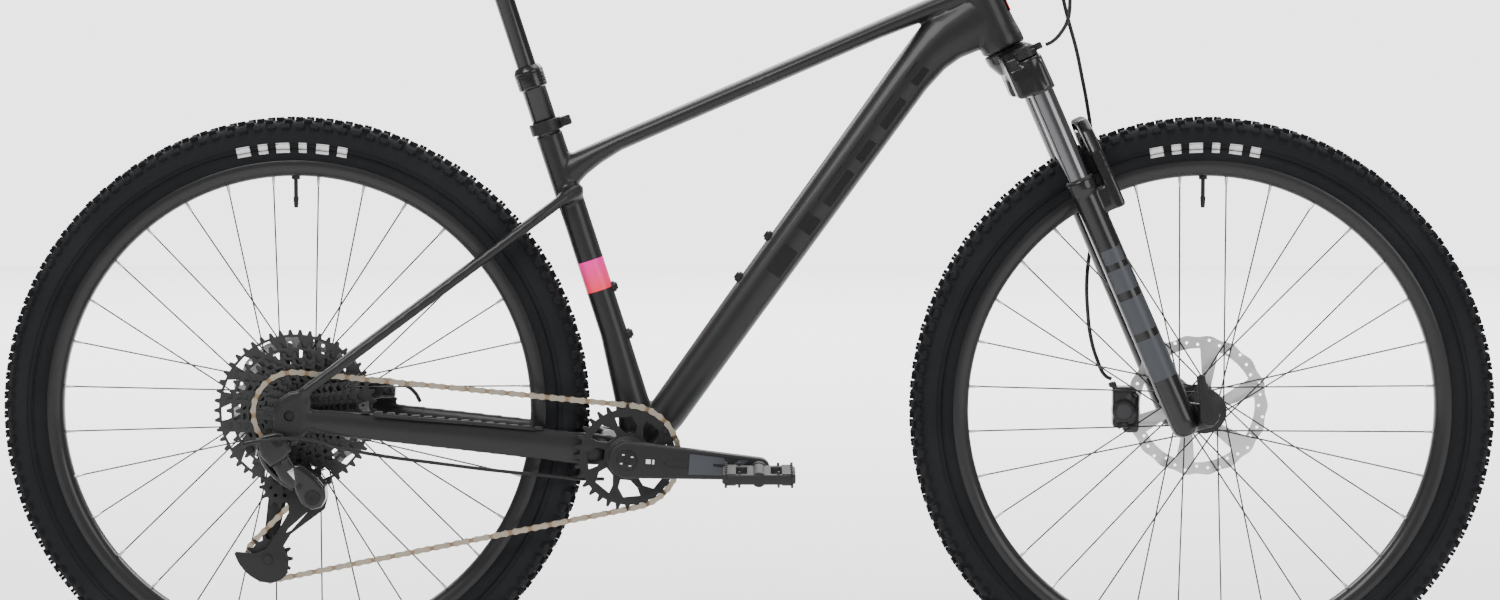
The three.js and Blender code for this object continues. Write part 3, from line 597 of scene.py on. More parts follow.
def make_tyre(name, centre, look):
    sizes = bpy.context.scene.bike_wheels
    base = TYRE_R - sizes.knob_height
    half = [(base, 0.0), (base - 0.0006, 0.010), (base - 0.0035, 0.018), (base - 0.0095, 0.0245),
            (base - 0.018, 0.0288), (base - 0.028, 0.0300), (0.327, 0.0262), (0.3195, 0.0178),
            (0.3165, 0.0150), (0.3155, 0.0125)]
    profile = [(r, -z) for r, z in reversed(half)] + half[1:]
    parts = [turned(profile, 144, closed=True)]
    count = sizes.knob_count
    for side in (-1, 1):
        stagger = 0.25 * side
        for sipe in (-1, 1):
            parts.append(knob_row(base, side * 0.0062, 0, (0.0042, 0.0086, 0.0042), count,
                                  stagger + sipe * 0.098))
        parts.append(knob_row(base - 0.0022, side * 0.0165, side * 0.32, (0.0096, 0.0064, 0.0042),
                              count, stagger + 0.5))
        parts.append(knob_row(base - 0.0085, side * 0.0248, side * 0.80, (0.0092, 0.0072, 0.0040),
                              126, 0.5 if side > 0 else 0))
        for radius in (0.3305, 0.3375):
            parts.append(turned([(radius - 0.0004, side * 0.0272), (radius, side * 0.0306),
                                 (radius + 0.0006, side * 0.0300), (radius + 0.0004, side * 0.0270)],
                                144, closed=True))
    tyre = merge(f"{name}_tyre_tread", parts)
    moved(tyre, along_y(centre))
    return done(tyre, f"{name}_tyre_tread", f"{name}_wheel", look["rubber"], [f"{name}_tyre"])


def make_tyre_bars(name, centre, look):
    """Plain pale bars on both sidewalls, above the axle, in the place of lettering."""
    bars = []
    for side in (-1, 1):
        ring = turned([(0.3268, side * 0.0255), (0.3385, side * 0.0296), (0.3390, side * 0.0306),
                       (0.3264, side * 0.0268)], 288, closed=True)
        wedges = []
        for i, half_width in enumerate((0.0085, 0.0060, 0.0085, 0.0050, 0.0080, 0.0062)):
            wedge = block((0.315, -half_width, side * 0.029 - 0.008),
                          (0.350, half_width, side * 0.029 + 0.008), 0)
            wedges.append(moved(wedge, Matrix.Rotation(math.pi / 2 + (i - 2.5) * 0.075, 4, "Z")))
        keep = merge("wedges", wedges)
        pick(ring)
        part = ring.modifiers.new("part", "BOOLEAN")
        part.operation = "INTERSECT"
        part.object = keep
        bpy.ops.object.modifier_apply(modifier=part.name)
        bpy.data.objects.remove(keep)
        bars.append(ring)
    turn = Matrix.Rotation(math.pi, 4, "Z")
    done(moved(merge("bars", bars), along_y(centre) @ turn), f"{name}_tyre_bars", f"{name}_wheel",
         look["white"])


def make_rim(name, centre, look):
    rim = turned([(0.2960, -0.0045), (0.2975, -0.0088), (0.3040, -0.0138), (0.3148, -0.0150),
                  (0.3165, -0.0142), (0.3165, 0.0142), (0.3148, 0.0150), (0.3040, 0.0138),
                  (0.2975, 0.0088), (0.2960, 0.0045)], 160, closed=True, place=along_y(centre))
    done(rim, f"{name}_rim_hoop", f"{name}_wheel", look["rim"], [f"{name}_rim"])
    top = centre + Vector((0, 0, 0.2958))
    valve = [rod(top, top - Vector((0, 0, 0.030)), 0.0027, sides=16),
             rod(top, top - Vector((0, 0, 0.004)), 0.0058, sides=6),
             rod(top - Vector((0, 0, 0.026)), top - Vector((0, 0, 0.040)), 0.0036, 0.0026, 16, 0.0005)]
    done(valve, f"{name}_valve", f"{name}_wheel", look["alloy"])


def make_hub_and_spokes(name, centre, look, hub, flanges):
    sizes = bpy.context.scene.bike_wheels
    body = turned(hub, 48, closed=True, place=along_y(centre))
    rings = []
    for side, y in zip((-1, 1), flanges):
        seat = along_y(centre + Vector((0, y - 0.0015 * side, 0)))
        rings.append(turned([(0.0255, -0.0012), (0.0285, 0), (0.0255, 0.0012)], 48, True, seat))
    shafts, nipples = [], []
    count = sizes.spoke_count
    for i in range(count):
        side = i % 2
        angle = (i + 0.5) * 2 * math.pi / count
        lean = math.radians(62) * (1 if i % 4 < 2 else -1)
        flange = Vector((0.0262 * math.sin(angle + lean), flanges[side], 0.0262 * math.cos(angle + lean)))
        end = Vector((0.2962 * math.sin(angle), 0.003 if side else -0.003, 0.2962 * math.cos(angle)))
        lift = 0.0012 if (i % 4 < 2) == bool(side) else -0.0012
        flange.y += lift
        shafts.append((centre + flange, centre + end))
    unit = turned([(1, 0), (1, 1)], 8)
    bars = copies(unit, [
        aimed(a, b) @ Matrix.Diagonal((sizes.spoke_radius, sizes.spoke_radius, (b - a).length, 1))
        for a, b in shafts])
    nut = turned([(0.0021, 0), (0.0021, 0.004), (0.0015, 0.0115), (0.0013, 0.012)], 10)
    nipples = copies(nut, [aimed(b, a) for a, b in shafts])
    done([body, *rings], f"{name}_hub_shell", f"{name}_wheel", look["alloy"], [f"{name}_hub_spokes"])
    done(bars, f"{name}_spokes", f"{name}_wheel", look["spoke"])
    done(nipples, f"{name}_nipples", f"{name}_wheel", look["steel"])


def make_rotor(name, centre, look):
    outline = ring_of(0.0893, 216, wave=0.0012, waves=18)
    holes = [ring_of(0.0130, 32)]
    for arm in range(6):
        a0 = arm * math.pi / 3
        window = []
        for step in range(9):
            angle = a0 + 0.20 + 0.72 * step / 8
            window.append((0.0735 * math.cos(angle + 0.28), 0.0735 * math.sin(angle + 0.28)))
        for step in range(6):
            angle = a0 + 0.86 - 0.60 * step / 5
            window.append((0.0250 * math.cos(angle), 0.0250 * math.sin(angle)))
        holes.append(window)
    for i in range(36):
        angle = i * math.pi / 18
        r = 0.0785 + 0.0032 * (i % 3)
        holes.append(ring_of(0.0021, 10, r * math.cos(angle), r * math.sin(angle)))
    disc = sheet_metal(outline, 0.0384, 0.0402, 0.0002, holes, 1)
    moved(disc, Matrix.Translation(centre))
    bolts = [turned([(0.0034, 0), (0.0034, 0.0016), (0.0018, 0.0018), (0.0018, 0.0010)], 12)]
    bolts = copies(bolts[0], [along_y(centre + Vector((0.021 * math.cos(a), 0.0402, 0.021 * math.sin(a))))
                              for a in (k * math.pi / 3 for k in range(6))])
    done(disc, f"{name}_brake_disc", f"{name}_wheel", look["rotor"], [f"{name}_rotor"])
    done(bolts, f"{name}_disc_bolts", f"{name}_wheel", look["dark_steel"])


# ---------------------------------------------------------------- frame

ORIGIN = Vector((0, 0, 0))
DOWN_TILT = math.radians(54.3)
TOP_TILT = math.radians(23.4)


def make_frame(look):
    sizes = bpy.context.scene.bike_frame
    top = loft([(0.045, 0, 0.7070, 0.0150, 0.0210), (0.062, 0, 0.7085, 0.0160, 0.0198),
                (0.078, 0, 0.7120, 0.0165, 0.0165), (0.100, 0, 0.7150, 0.0165, 0.0136),
                (0.130, 0, 0.7173, 0.0165, 0.0113), (0.300, 0, 0.7172, 0.0168, 0.0112),
                (0.485, 0, 0.7172, 0.0175, 0.0113), (0.560, 0, 0.7158, 0.0185, 0.0127),
                (0.612, 0, 0.7140, 0.0200, 0.0150)], ORIGIN, TOP_TILT)
    down = loft([(0.180, 0, 0.3030, 0.0215, 0.0225), (0.235, 0, 0.2983, 0.0215, 0.0243),
                 (0.400, 0, 0.2990, 0.0225, 0.0252), (0.600, 0, 0.2985, 0.0235, 0.0262),
                 (0.760, 0, 0.2982, 0.0235, 0.0271), (0.795, 0, 0.2960, 0.0235, 0.0288),
                 (0.818, 0, 0.2920, 0.0240, 0.0325), (0.838, 0, 0.2850, 0.0240, 0.0380),
                 (0.858, 0, 0.2760, 0.0240, 0.0400), (0.880, 0, 0.2680, 0.0235, 0.0400)],
                ORIGIN, DOWN_TILT)
    seat = loft([(0.352, 0, 0.0360, 0.0230, 0.0235), (0.395, 0, 0.0250, 0.0220, 0.0222),
                 (0.435, 0, 0.0225, 0.0195, 0.0203), (0.500, 0, 0.0190, 0.0175, 0.0172),
                 (0.640, 0, 0.0186, 0.0172, 0.0170), (0.764, 0, 0.0186, 0.0172, 0.0170)],
                ORIGIN, math.pi / 2 + SEAT_TILT)
    head = turned([(0.0268, 0.0), (0.0282, 0.0015), (0.0282, 0.0125), (0.0262, 0.030), (0.0250, 0.058),
                   (0.0248, 0.094), (0.0258, 0.098), (0.0258, 0.1068), (0.0245, 0.108)], 56, place=FORK)
    shell = rod(BRACKET - Vector((0, 0.0365, 0)), BRACKET + Vector((0, 0.0365, 0)), 0.0245, edge=0.001,
                sides=56)
    yoke = block((-0.190, -0.036, 0.303), (-0.160, 0.036, 0.340), 0.006)
    parts = [top, down, seat, head, shell, yoke]
    for side in (-1, 1):
        parts.append(loft([
            (-0.558, side * 0.0785, 0.3655, 0.0052, 0.0150), (-0.540, side * 0.0755, 0.3630, 0.0060, 0.0160),
            (-0.500, side * 0.0695, 0.3585, 0.0068, 0.0168), (-0.436, side * 0.0620, 0.3513, 0.0072, 0.0178),
            (-0.370, side * 0.0540, 0.3440, 0.0070, 0.0190), (-0.311, side * 0.0470, 0.3370, 0.0066, 0.0200),
            (-0.262, side * 0.0422, 0.3312, 0.0060, 0.0207), (-0.225, side * 0.0400, 0.3265, 0.0058, 0.0210),
            (-0.190, side * 0.0360, 0.3235, 0.0070, 0.0205), (-0.168, side * 0.0280, 0.3200, 0.0085, 0.0195),
        ], ORIGIN, 0.0, 28))
        parts.append(tube([(-0.224, side * 0.0180, 0.6475), (-0.240, side * 0.0290, 0.6350),
                           (-0.262, side * 0.0400, 0.6185), (-0.292, side * 0.0470, 0.5962),
                           (-0.400, side * 0.0610, 0.5160), (-0.520, side * 0.0755, 0.4270),
                           (-0.556, side * 0.0788, 0.4003)], 0.0072, 16, 8))
        parts.append(rod((-0.218, side * 0.008, 0.650), (-0.236, side * 0.026, 0.638), 0.0115, 0.0085))
        plate = [(-0.556, 0.346), (-0.566, 0.334), (-0.580, 0.328), (-0.594, 0.331), (-0.599, 0.342),
                 (-0.594, 0.356), (-0.594, 0.378), (-0.587, 0.392), (-0.574, 0.401), (-0.560, 0.403),
                 (-0.548, 0.397), (-0.546, 0.386), (-0.550, 0.376)]
        low = 0.0732 if side > 0 else -0.0835
        parts.append(sheet_metal(plate, low, low + 0.0103, 0.0022))
    parts.append(sheet_metal(
        [(-0.548, 0.398), (-0.500, 0.404), (-0.452, 0.377), (-0.462, 0.366), (-0.548, 0.372)],
        0.0645, 0.0705, 0.0015))
    skin = welded(parts, sizes.weld, 6)
    bores = [rod(SEAT_TOP + POST.to_3x3() @ Vector((0, 0, -0.06)),
                 SEAT_TOP + POST.to_3x3() @ Vector((0, 0, 0.01)), 0.0158, sides=32),
             rod(REAR_AXLE + Vector((0, -0.1, 0)), REAR_AXLE + Vector((0, 0.1, 0)), 0.0068, sides=24)]
    drill(skin, *bores)
    bpy.ops.object.shade_smooth()
    paint = look["paint"]
    band_between(paint, (0.80, 0.01, 0.30), tuple(sizes.accent), 0.5830, 0.6270)
    done(skin, "frame_skin", "frame", paint,
         ["top_tube", "down_tube", "seat_tube", "head_tube", "bottom_bracket_shell", "chainstay_right",
          "chainstay_left", "seatstay_right", "seatstay_left"])


def make_frame_fittings(look):
    bolts = []
    for x, z, lean in ((-0.0132, 0.5390, 144.5), (0.0241, 0.5910, 144.5),
                       (-0.1725, 0.5268, 18), (-0.1531, 0.4670, 18)):
        out = Vector((math.cos(math.radians(lean)), 0, math.sin(math.radians(lean))))
        seat = Vector((x, 0, z))
        bolts.append(turned([(0.0070, -0.005), (0.0070, 0.0022), (0.0062, 0.0030), (0.0048, 0.0030),
                             (0.0048, 0.0050), (0.0040, 0.0056), (0.0024, 0.0056), (0.0024, 0.0035),
                             (0.0, 0.0035)], 24, place=aimed(seat, seat + out)))
    done(bolts, "bottle_bolts", "frame", look["alloy"])
    cups = []
    for side in (-1, 1):
        cups.append(turned([(0.0160, 0.0366), (0.0225, 0.0366), (0.0225, 0.0400), (0.0212, 0.0408),
                            (0.0212, 0.0445), (0.0200, 0.0452), (0.0160, 0.0452)], 48, True,
                           Matrix.Translation(BRACKET) @ Matrix.Rotation(-side * math.pi / 2, 4, "X")))
    done(cups, "bottom_bracket_cups", "frame", look["alloy"])
    front = Vector((0.0262, 0, 0.058))
    badge = [sheet_metal([(-0.010, -0.016), (0.010, -0.016), (0.007, 0.018), (-0.007, 0.018)],
                         -0.0007, 0.0007, 0.0003)]
    moved(badge[0], FORK @ Matrix.Translation(front - Vector((0.0005, 0, 0)))
          @ Matrix.Rotation(math.pi / 2, 4, "Z"))
    done(badge, "head_badge", "frame", look["red"])
    guard = [tube([(-0.470, -0.078, 0.3725), (-0.410, -0.068, 0.3652), (-0.340, -0.058, 0.3585),
                   (-0.270, -0.050, 0.3510)], 0.0024, 10)]
    for i in range(15):
        t = i / 14
        x = -0.480 + 0.215 * t
        z = 0.3738 - 0.0235 * t
        y = -0.0665 + 0.0245 * t
        guard.append(block((x - 0.0052, y - 0.0065, z - 0.0012), (x + 0.0052, y + 0.0065, z + 0.0024),
                           0.0011))
    done(guard, "chainstay_guard", "frame", look["grip"])
    clamp = turned([(0.0158, -0.0136), (0.0200, -0.0136), (0.0208, -0.0126), (0.0208, 0.0006),
                    (0.0200, 0.0016), (0.0158, 0.0016)], 48, True)
    ear = [block((0.0175, -0.0085, -0.0125), (0.0325, -0.0012, 0.0005), 0.0022),
           block((0.0175, 0.0012, -0.0125), (0.0325, 0.0085, 0.0005), 0.0022),
           rod((0.0265, -0.0125, -0.006), (0.0265, 0.0115, -0.006), 0.0026, sides=16),
           rod((0.0265, -0.0130, -0.006), (0.0265, -0.0085, -0.006), 0.0043, sides=24, edge=0.0006)]
    clamp = merge("clamp", [clamp, *ear])
    done(moved(clamp, POST), "seat_clamp_ring", "frame", look["alloy"], ["seat_clamp"])


# ---------------------------------------------------------------- seatpost and saddle

def make_post(look):
    outer = [turned([(0.0128, -0.150), (0.01545, -0.150), (0.01545, 0.0436), (0.0160, 0.0444),
                     (0.0182, 0.0456), (0.0185, 0.0468), (0.0185, 0.0676), (0.0178, 0.0690),
                     (0.0160, 0.0722), (0.0148, 0.0738), (0.0128, 0.0738)], 64, True)]
    for i in range(5):
        height = 0.0490 + i * 0.0042
        outer.append(turned([(0.0182, height - 0.0011), (0.0189, height - 0.0006), (0.0189, height + 0.0006),
                             (0.0182, height + 0.0011)], 64, True))
    done(moved(merge("outer", outer), POST), "dropper_lower_tube", "frame", look["gloss"],
         ["dropper_outer_tube"])
    inner = [turned([(0.0122, -0.070), (0.0122, 0.196), (0.0135, 0.199), (0.0135, 0.204)], 48),
             block((-0.021, -0.026, 0.200), (0.021, 0.026, 0.2105), 0.0035),
             rod((-0.015, -0.012, 0.207), (-0.015, -0.012, 0.232), 0.0028, sides=16),
             rod((0.015, 0.012, 0.207), (0.015, 0.012, 0.232), 0.0028, sides=16)]
    inner = moved(merge("inner", inner), POST)
    done(inner, "dropper_upper_tube", "post", look["gloss"], ["dropper_inner_post"])
    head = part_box("dropper_inner_post")[1][2]
    cradle = [block((-0.352, side * 0.022 - 0.0065, head + 0.001), (-0.304, side * 0.022 + 0.0065,
                    head + 0.0135), 0.003) for side in (-1, 1)]
    cradle.append(block((-0.342, -0.027, head - 0.001), (-0.314, 0.027, head + 0.0045), 0.002))
    done(cradle, "rail_clamp", "post", look["alloy"])


def make_saddle(look):
    rails = []
    for side in (-1, 1):
        rails.append(tube([(-0.440, side * 0.034, 0.9828), (-0.424, side * 0.033, 0.9770),
                           (-0.392, side * 0.0225, 0.9630), (-0.360, side * 0.022, 0.9622),
                           (-0.300, side * 0.022, 0.9625), (-0.262, side * 0.017, 0.9700),
                           (-0.228, side * 0.006, 0.9828)], 0.0035, 14, 8))
    done(rails, "saddle_rail_pair", "post", look["steel"], ["saddle_rails"])
    clear_selection()
    # A rounded shell, narrow at the nose: a grid of stations along the saddle, each a half oval.
    stations = [
        (-0.4690, 0.046, 0.006, 1.0045), (-0.4640, 0.062, 0.010, 1.0060), (-0.4500, 0.069, 0.0125, 1.0080),
        (-0.4250, 0.070, 0.0140, 1.0075), (-0.3950, 0.059, 0.0145, 1.0055), (-0.3600, 0.041, 0.0145, 1.0035),
        (-0.3200, 0.0275, 0.0145, 1.0025), (-0.2750, 0.0215, 0.0145, 1.0020),
        (-0.2350, 0.0190, 0.0140, 1.0015),
        (-0.2120, 0.0165, 0.0120, 1.0000), (-0.2010, 0.0120, 0.0080, 0.9985),
        (-0.1985, 0.0060, 0.0045, 0.9970),
    ]
    shell = loft([(x, 0, top - depth, width, depth) for x, width, depth, top in stations], ORIGIN, 0.0, 40)
    pick(shell)
    bpy.ops.object.mode_set(mode="EDIT")
    bpy.ops.mesh.select_all(action="SELECT")
    bpy.ops.mesh.bisect(plane_co=(0, 0, 0.9905), plane_no=(0, 0, 1), clear_inner=True, use_fill=True)
    bpy.ops.object.mode_set(mode="OBJECT")
    skin = shell.modifiers.new("skin", "REMESH")
    skin.mode = "VOXEL"
    skin.voxel_size = 0.0026
    bpy.ops.object.modifier_apply(modifier=skin.name)
    channel = rod((-0.430, 0, 1.0165), (-0.255, 0, 1.0125), 0.0100, 0.0085, 32)
    drill(shell, channel)
    soften = shell.modifiers.new("soften", "SMOOTH")
    soften.factor = 0.5
    soften.iterations = 5
    pick(shell)
    bpy.ops.object.modifier_apply(modifier=soften.name)
    bpy.ops.object.shade_smooth()
    done(shell, "saddle_pad", "post", look["cover"], ["saddle"])
    base = block((-0.445, -0.046, 0.9850), (-0.232, 0.046, 0.9895), 0.002)
    bpy.ops.object.mode_set(mode="EDIT")
    bpy.ops.mesh.select_all(action="DESELECT")
    bpy.ops.object.mode_set(mode="OBJECT")
    for vertex in base.data.vertices:
        vertex.select = vertex.co.x > -0.3
    bpy.ops.object.mode_set(mode="EDIT")
    bpy.ops.transform.resize(value=(1, 0.34, 1), center_override=(-0.24, 0, 0.9872))
    bpy.ops.object.mode_set(mode="OBJECT")
    done(base, "saddle_base", "post", look["plastic"])
    stitches = [rod((-0.455 + 0.012 * i, side * (0.052 - 0.0026 * i), 1.0045),
                    (-0.449 + 0.012 * i, side * (0.0507 - 0.0026 * i), 1.0045), 0.0006, sides=6)
                for i in range(9) for side in (-1, 1)]
    done(stitches, "saddle_stitches", "post", look["grey"])


# ---------------------------------------------------------------- fork

def across(outline, x0, x1, edge):
    """A plate drawn from the front, as thick as from x0 to x1."""
    plate = sheet_metal(outline, -x1, -x0, edge, segments=3)
    return moved(plate, Matrix.Rotation(math.pi / 2, 4, "Z"))


def mirrored(half):
    """A closed outline from its right half, which starts and ends on the centre line side."""
    return half + [(-y, z) for y, z in reversed(half)]


def make_fork_crown(look):
    outline = mirrored([(0.030, -0.003), (0.050, -0.0065), (0.066, -0.0140), (0.0785, -0.0280),
                        (0.0800, -0.0400), (0.0790, -0.0640), (0.0450, -0.0640), (0.0420, -0.0500),
                        (0.0360, -0.0405), (0.0220, -0.0335)])
    parts = [across(outline, -0.013, 0.0325, 0.006)]
    parts.append(turned([(0.0180, -0.030), (0.0265, -0.014), (0.0280, -0.004), (0.0268, -0.0006)], 48))
    for side in (-1, 1):
        leg = (LEG[0], side * LEG[1])
        parts.append(rod((*leg, -0.0662), (*leg, -0.020), 0.0186, 0.0178, 40, 0.0015))
    crown = welded(parts, 0.0015, 4)
    seats = [rod((LEG[0], side * LEG[1], -0.080), (LEG[0], side * LEG[1], -0.0635), 0.0152, sides=40)
             for side in (-1, 1)]
    drill(crown, *seats)
    bpy.ops.object.shade_smooth()
    moved(crown, FORK)
    steerer = turned([(0.0142, -0.004), (0.0142, 0.1655), (0.0120, 0.1678)], 40, place=FORK)
    done(crown, "crown_forging", "steering", look["gloss"], ["fork_crown"])
    done(steerer, "steerer_tube", "steering", look["alloy"])
    cap = [turned([(0.0138, -0.0230), (0.0138, -0.0120), (0.0115, -0.0100)], 40,
                  place=FORK @ Matrix.Translation((LEG[0], LEG[1], 0)))]
    done(cap, "air_cap", "steering", look["alloy"])
    for side, name in ((-1, "right"), (1, "left")):
        tube_at = FORK @ Matrix.Translation((LEG[0], side * LEG[1], 0))
        pipe = turned([(0.0150, -0.330), (0.0150, -0.0632)], 64, place=tube_at)
        done(pipe, f"stanchion_{name}_tube", "steering", look["stanchion"], [f"stanchion_{name}"])


def make_fork_lowers(look):
    parts = []
    for side in (-1, 1):
        leg = Matrix.Translation((LEG[0], side * LEG[1], 0))
        parts.append(turned([(0.0060, -0.5340), (0.0120, -0.5330), (0.0168, -0.5270), (0.0180, -0.5150),
                             (0.0176, -0.420), (0.0170, -0.300), (0.0168, -0.206), (0.0180, -0.2015),
                             (0.0192, -0.1985), (0.0192, -0.1875), (0.0184, -0.1852)], 64, place=leg))
        web = [(0.012, -0.500), (0.020, -0.486), (0.034, -0.496), (0.0525, -0.506), (0.0625, -0.513),
               (0.0645, -0.524), (0.0575, -0.533), (0.0480, -0.536), (0.026, -0.532), (0.012, -0.528)]
        low = 0.0556 if side > 0 else -0.0680
        parts.append(sheet_metal(web, low, low + 0.0124, 0.0028, segments=3))
        parts.append(block((LEG[0], side * LEG[1] - 0.0110, -0.236), (0.0570, side * LEG[1] + 0.0110, -0.202),
                           0.006, 3))
    arch = mirrored([(0.0150, -0.1170), (0.0400, -0.1185), (0.0540, -0.1330), (0.0650, -0.1600),
                     (0.0730, -0.1980), (0.0750, -0.2360), (0.0520, -0.2360), (0.0500, -0.2050),
                     (0.0440, -0.1720), (0.0350, -0.1470), (0.0260, -0.1370), (0.0120, -0.1350)])
    parts.append(across(arch, 0.0425, 0.0590, 0.0045))
    lowers = welded(parts, 0.0017, 4)
    cuts = [rod((LEG[0], side * LEG[1], -0.240), (LEG[0], side * LEG[1], -0.180), 0.0153, sides=48)
            for side in (-1, 1)]
    cuts.append(rod((0.0492, -0.09, -0.5191), (0.0492, 0.09, -0.5191), 0.0078, sides=32))
    cuts.append(across(mirrored([(0.0050, -0.1215), (0.0360, -0.1240), (0.0480, -0.1380),
                                 (0.0560, -0.1640), (0.0500, -0.1640), (0.0420, -0.1450), (0.0320, -0.1325),
                                 (0.0050, -0.1300)]), 0.0350, 0.0475, 0.0010))
    drill(lowers, *cuts)
    bpy.ops.object.shade_smooth()
    moved(lowers, FORK)
    done(lowers, "fork_lower_casting", "fork_lowers", look["gloss"], ["fork_lowers"])
    seals = []
    for side in (-1, 1):
        seals.append(turned([(0.0152, -0.1885), (0.0186, -0.1880), (0.0182, -0.1848), (0.0166, -0.1832),
                             (0.0152, -0.1830)], 48, True,
                            FORK @ Matrix.Translation((LEG[0], side * LEG[1], 0))))
    done(seals, "fork_seals", "fork_lowers", look["plastic"])
    marks = []
    for side in (-1, 1):
        for i, (low, high) in enumerate(FORK_MARKS):
            radius = 0.0177 if i < 2 else 0.0174
            mark = turned([(radius, low), (radius + 0.00025, low + 0.0002),
                           (radius + 0.00025, high - 0.0002), (radius, high)], 64, True)
            keep = block((-0.030, -0.030, low - 0.01), (0.030, -0.0085 - 0.0012 * i, high + 0.01), 0)
            pick(mark)
            both = mark.modifiers.new("part", "BOOLEAN")
            both.operation = "INTERSECT"
            both.object = keep
            bpy.ops.object.modifier_apply(modifier=both.name)
            bpy.data.objects.remove(keep)
            spin = Matrix.Rotation(0 if side < 0 else math.pi, 4, "Z")
            marks.append(moved(mark, FORK @ Matrix.Translation((LEG[0], side * LEG[1], 0)) @ spin))
    done(marks, "fork_leg_bars", "fork_lowers", look["grey"])
    axle = [rod(FRONT_AXLE + Vector((0, -0.071, 0)), FRONT_AXLE + Vector((0, 0.071, 0)), 0.0074, sides=32),
            rod(FRONT_AXLE + Vector((0, -0.0795, 0)), FRONT_AXLE + Vector((0, -0.0690, 0)), 0.0118,
                edge=0.0012, sides=40)]
    lever = sheet_metal([(0.0060, -0.0125), (0.0125, -0.0030), (0.0110, 0.0080), (0.0030, 0.0200),
                         (-0.0035, 0.0360), (-0.0060, 0.0500), (-0.0120, 0.0525), (-0.0165, 0.0480),
                         (-0.0150, 0.0330), (-0.0125, 0.0150), (-0.0115, -0.0030), (-0.0060, -0.0120)],
                        -0.0840, -0.0780, 0.0020, segments=3)
    axle.append(moved(lever, Matrix.Translation(FRONT_AXLE)))
    done(axle, "front_axle_lever", "fork_lowers", look["alloy"], ["front_thru_axle"])
    dial = [turned([(0.0, -0.0186), (0.0150, -0.0186), (0.0150, -0.0120), (0.0140, -0.0108),
                    (0.0140, -0.0070), (0.0122, -0.0052), (0.0, -0.0050)], 48,
                   place=FORK @ Matrix.Translation((LEG[0], -LEG[1], 0))),
            moved(block((0.012, -0.0032, -0.0155), (0.0235, 0.0032, -0.0070), 0.0016),
                  FORK @ Matrix.Translation((LEG[0], -LEG[1], 0)))]
    done(dial, "lockout_knob", "lockout_dial", look["alloy"], ["lockout_dial"])


HUB_FRONT = [(0.0080, -0.0540), (0.0125, -0.0540), (0.0130, -0.0440), (0.0160, -0.0380), (0.0280, -0.0325),
             (0.0283, -0.0290), (0.0180, -0.0250), (0.0150, -0.0150), (0.0148, 0.0150), (0.0180, 0.0250),
             (0.0283, 0.0290), (0.0280, 0.0325), (0.0210, 0.0360), (0.0205, 0.0378), (0.0125, 0.0380),
             (0.0120, 0.0540), (0.0080, 0.0540)]
HUB_REAR = [(0.0070, -0.0192), (0.0200, -0.0192), (0.0285, -0.0188), (0.0285, -0.0155), (0.0190, -0.0110),
            (0.0165, 0.0000), (0.0165, 0.0200), (0.0190, 0.0280), (0.0283, 0.0312), (0.0280, 0.0345),
            (0.0210, 0.0368), (0.0205, 0.0378), (0.0125, 0.0380), (0.0120, 0.0675), (0.0070, 0.0675)]
WHEELS = (("front", FRONT_AXLE, HUB_FRONT, (-0.0305, 0.0305)),
          ("rear", REAR_AXLE, HUB_REAR, (-0.0170, 0.0325)))


# ---------------------------------------------------------------- drivetrain

def toothed(teeth, root, tip, x=0.0, z=0.0):
    """The outline of a sprocket: each tooth rises from its root to a narrow tip."""
    outline = []
    step = 2 * math.pi / teeth
    for i in range(teeth):
        for share, radius in ((-0.32, root), (-0.13, tip), (0.10, tip), (0.24, root)):
            angle = (i + share) * step
            outline.append((x + radius * math.cos(angle), z + radius * math.sin(angle)))
    return outline


def slot_ring(count, inner, outer, share, x=0.0, z=0.0, twist=0.0):
    """Windows in a ring: each has round-cornered ends and spans a share of its part of the ring."""
    slots = []
    step = 2 * math.pi / count
    for i in range(count):
        middle = i * step
        half = share * step / 2
        mean = (inner + outer) / 2
        loop = []
        for radius, offset, lean in ((inner, -0.7, -1), (mean, -1.0, 0), (outer, -0.7, 1), (outer, 0.7, 1),
                                     (mean, 1.0, 0), (inner, 0.7, -1)):
            angle = middle + offset * half + lean * twist
            loop.append((x + radius * math.cos(angle), z + radius * math.sin(angle)))
        slots.append(loop)
    return slots


def make_cassette(look):
    cogs = []
    for index, teeth in enumerate(COGS):
        root = pitch_radius(teeth) - TOOTH_ROOT
        bore = 0.0120 if teeth < 15 else 0.0170
        holes = [ring_of(bore, 24)]
        if teeth >= 17:
            inside = pitch_radius(COGS[index - 2]) - 0.0060
            holes += slot_ring(max(9, teeth // 3), max(inside, 0.0215), root - 0.0032, 0.62, twist=0.05)
        if teeth >= 36:
            holes += slot_ring(9, 0.0260, pitch_radius(COGS[index - 2]) - 0.0110, 0.70, twist=0.10)
        y = COG_Y[index]
        cog = sheet_metal(toothed(teeth, root, root + 0.0060), y - 0.0008, y + 0.0008, 0.0002, holes, 1)
        cogs.append(moved(cog, Matrix.Translation(REAR_AXLE)))
    spider = [turned([(0.0172, -0.0640), (0.0210, -0.0640), (0.0210, -0.0230), (0.0172, -0.0230)], 40, True,
                     along_y(REAR_AXLE))]
    for arm in range(9):
        bar = block((0.0200, -0.0225, -0.0021), (0.0780, -0.0212, 0.0021), 0.0005, 1)
        turn = Matrix.Rotation(arm * 2 * math.pi / 9, 4, "Y")
        spider.append(moved(bar, Matrix.Translation(REAR_AXLE) @ turn))
    lock = turned([(0.0070, -0.0690), (0.0152, -0.0690), (0.0160, -0.0680), (0.0160, -0.0650),
                   (0.0070, -0.0650)], 40, True, along_y(REAR_AXLE))
    done([*cogs, *spider], "cassette_cogs", "cassette", look["cog"], ["cassette"])
    done(lock, "cassette_lockring", "cassette", look["dark_steel"])


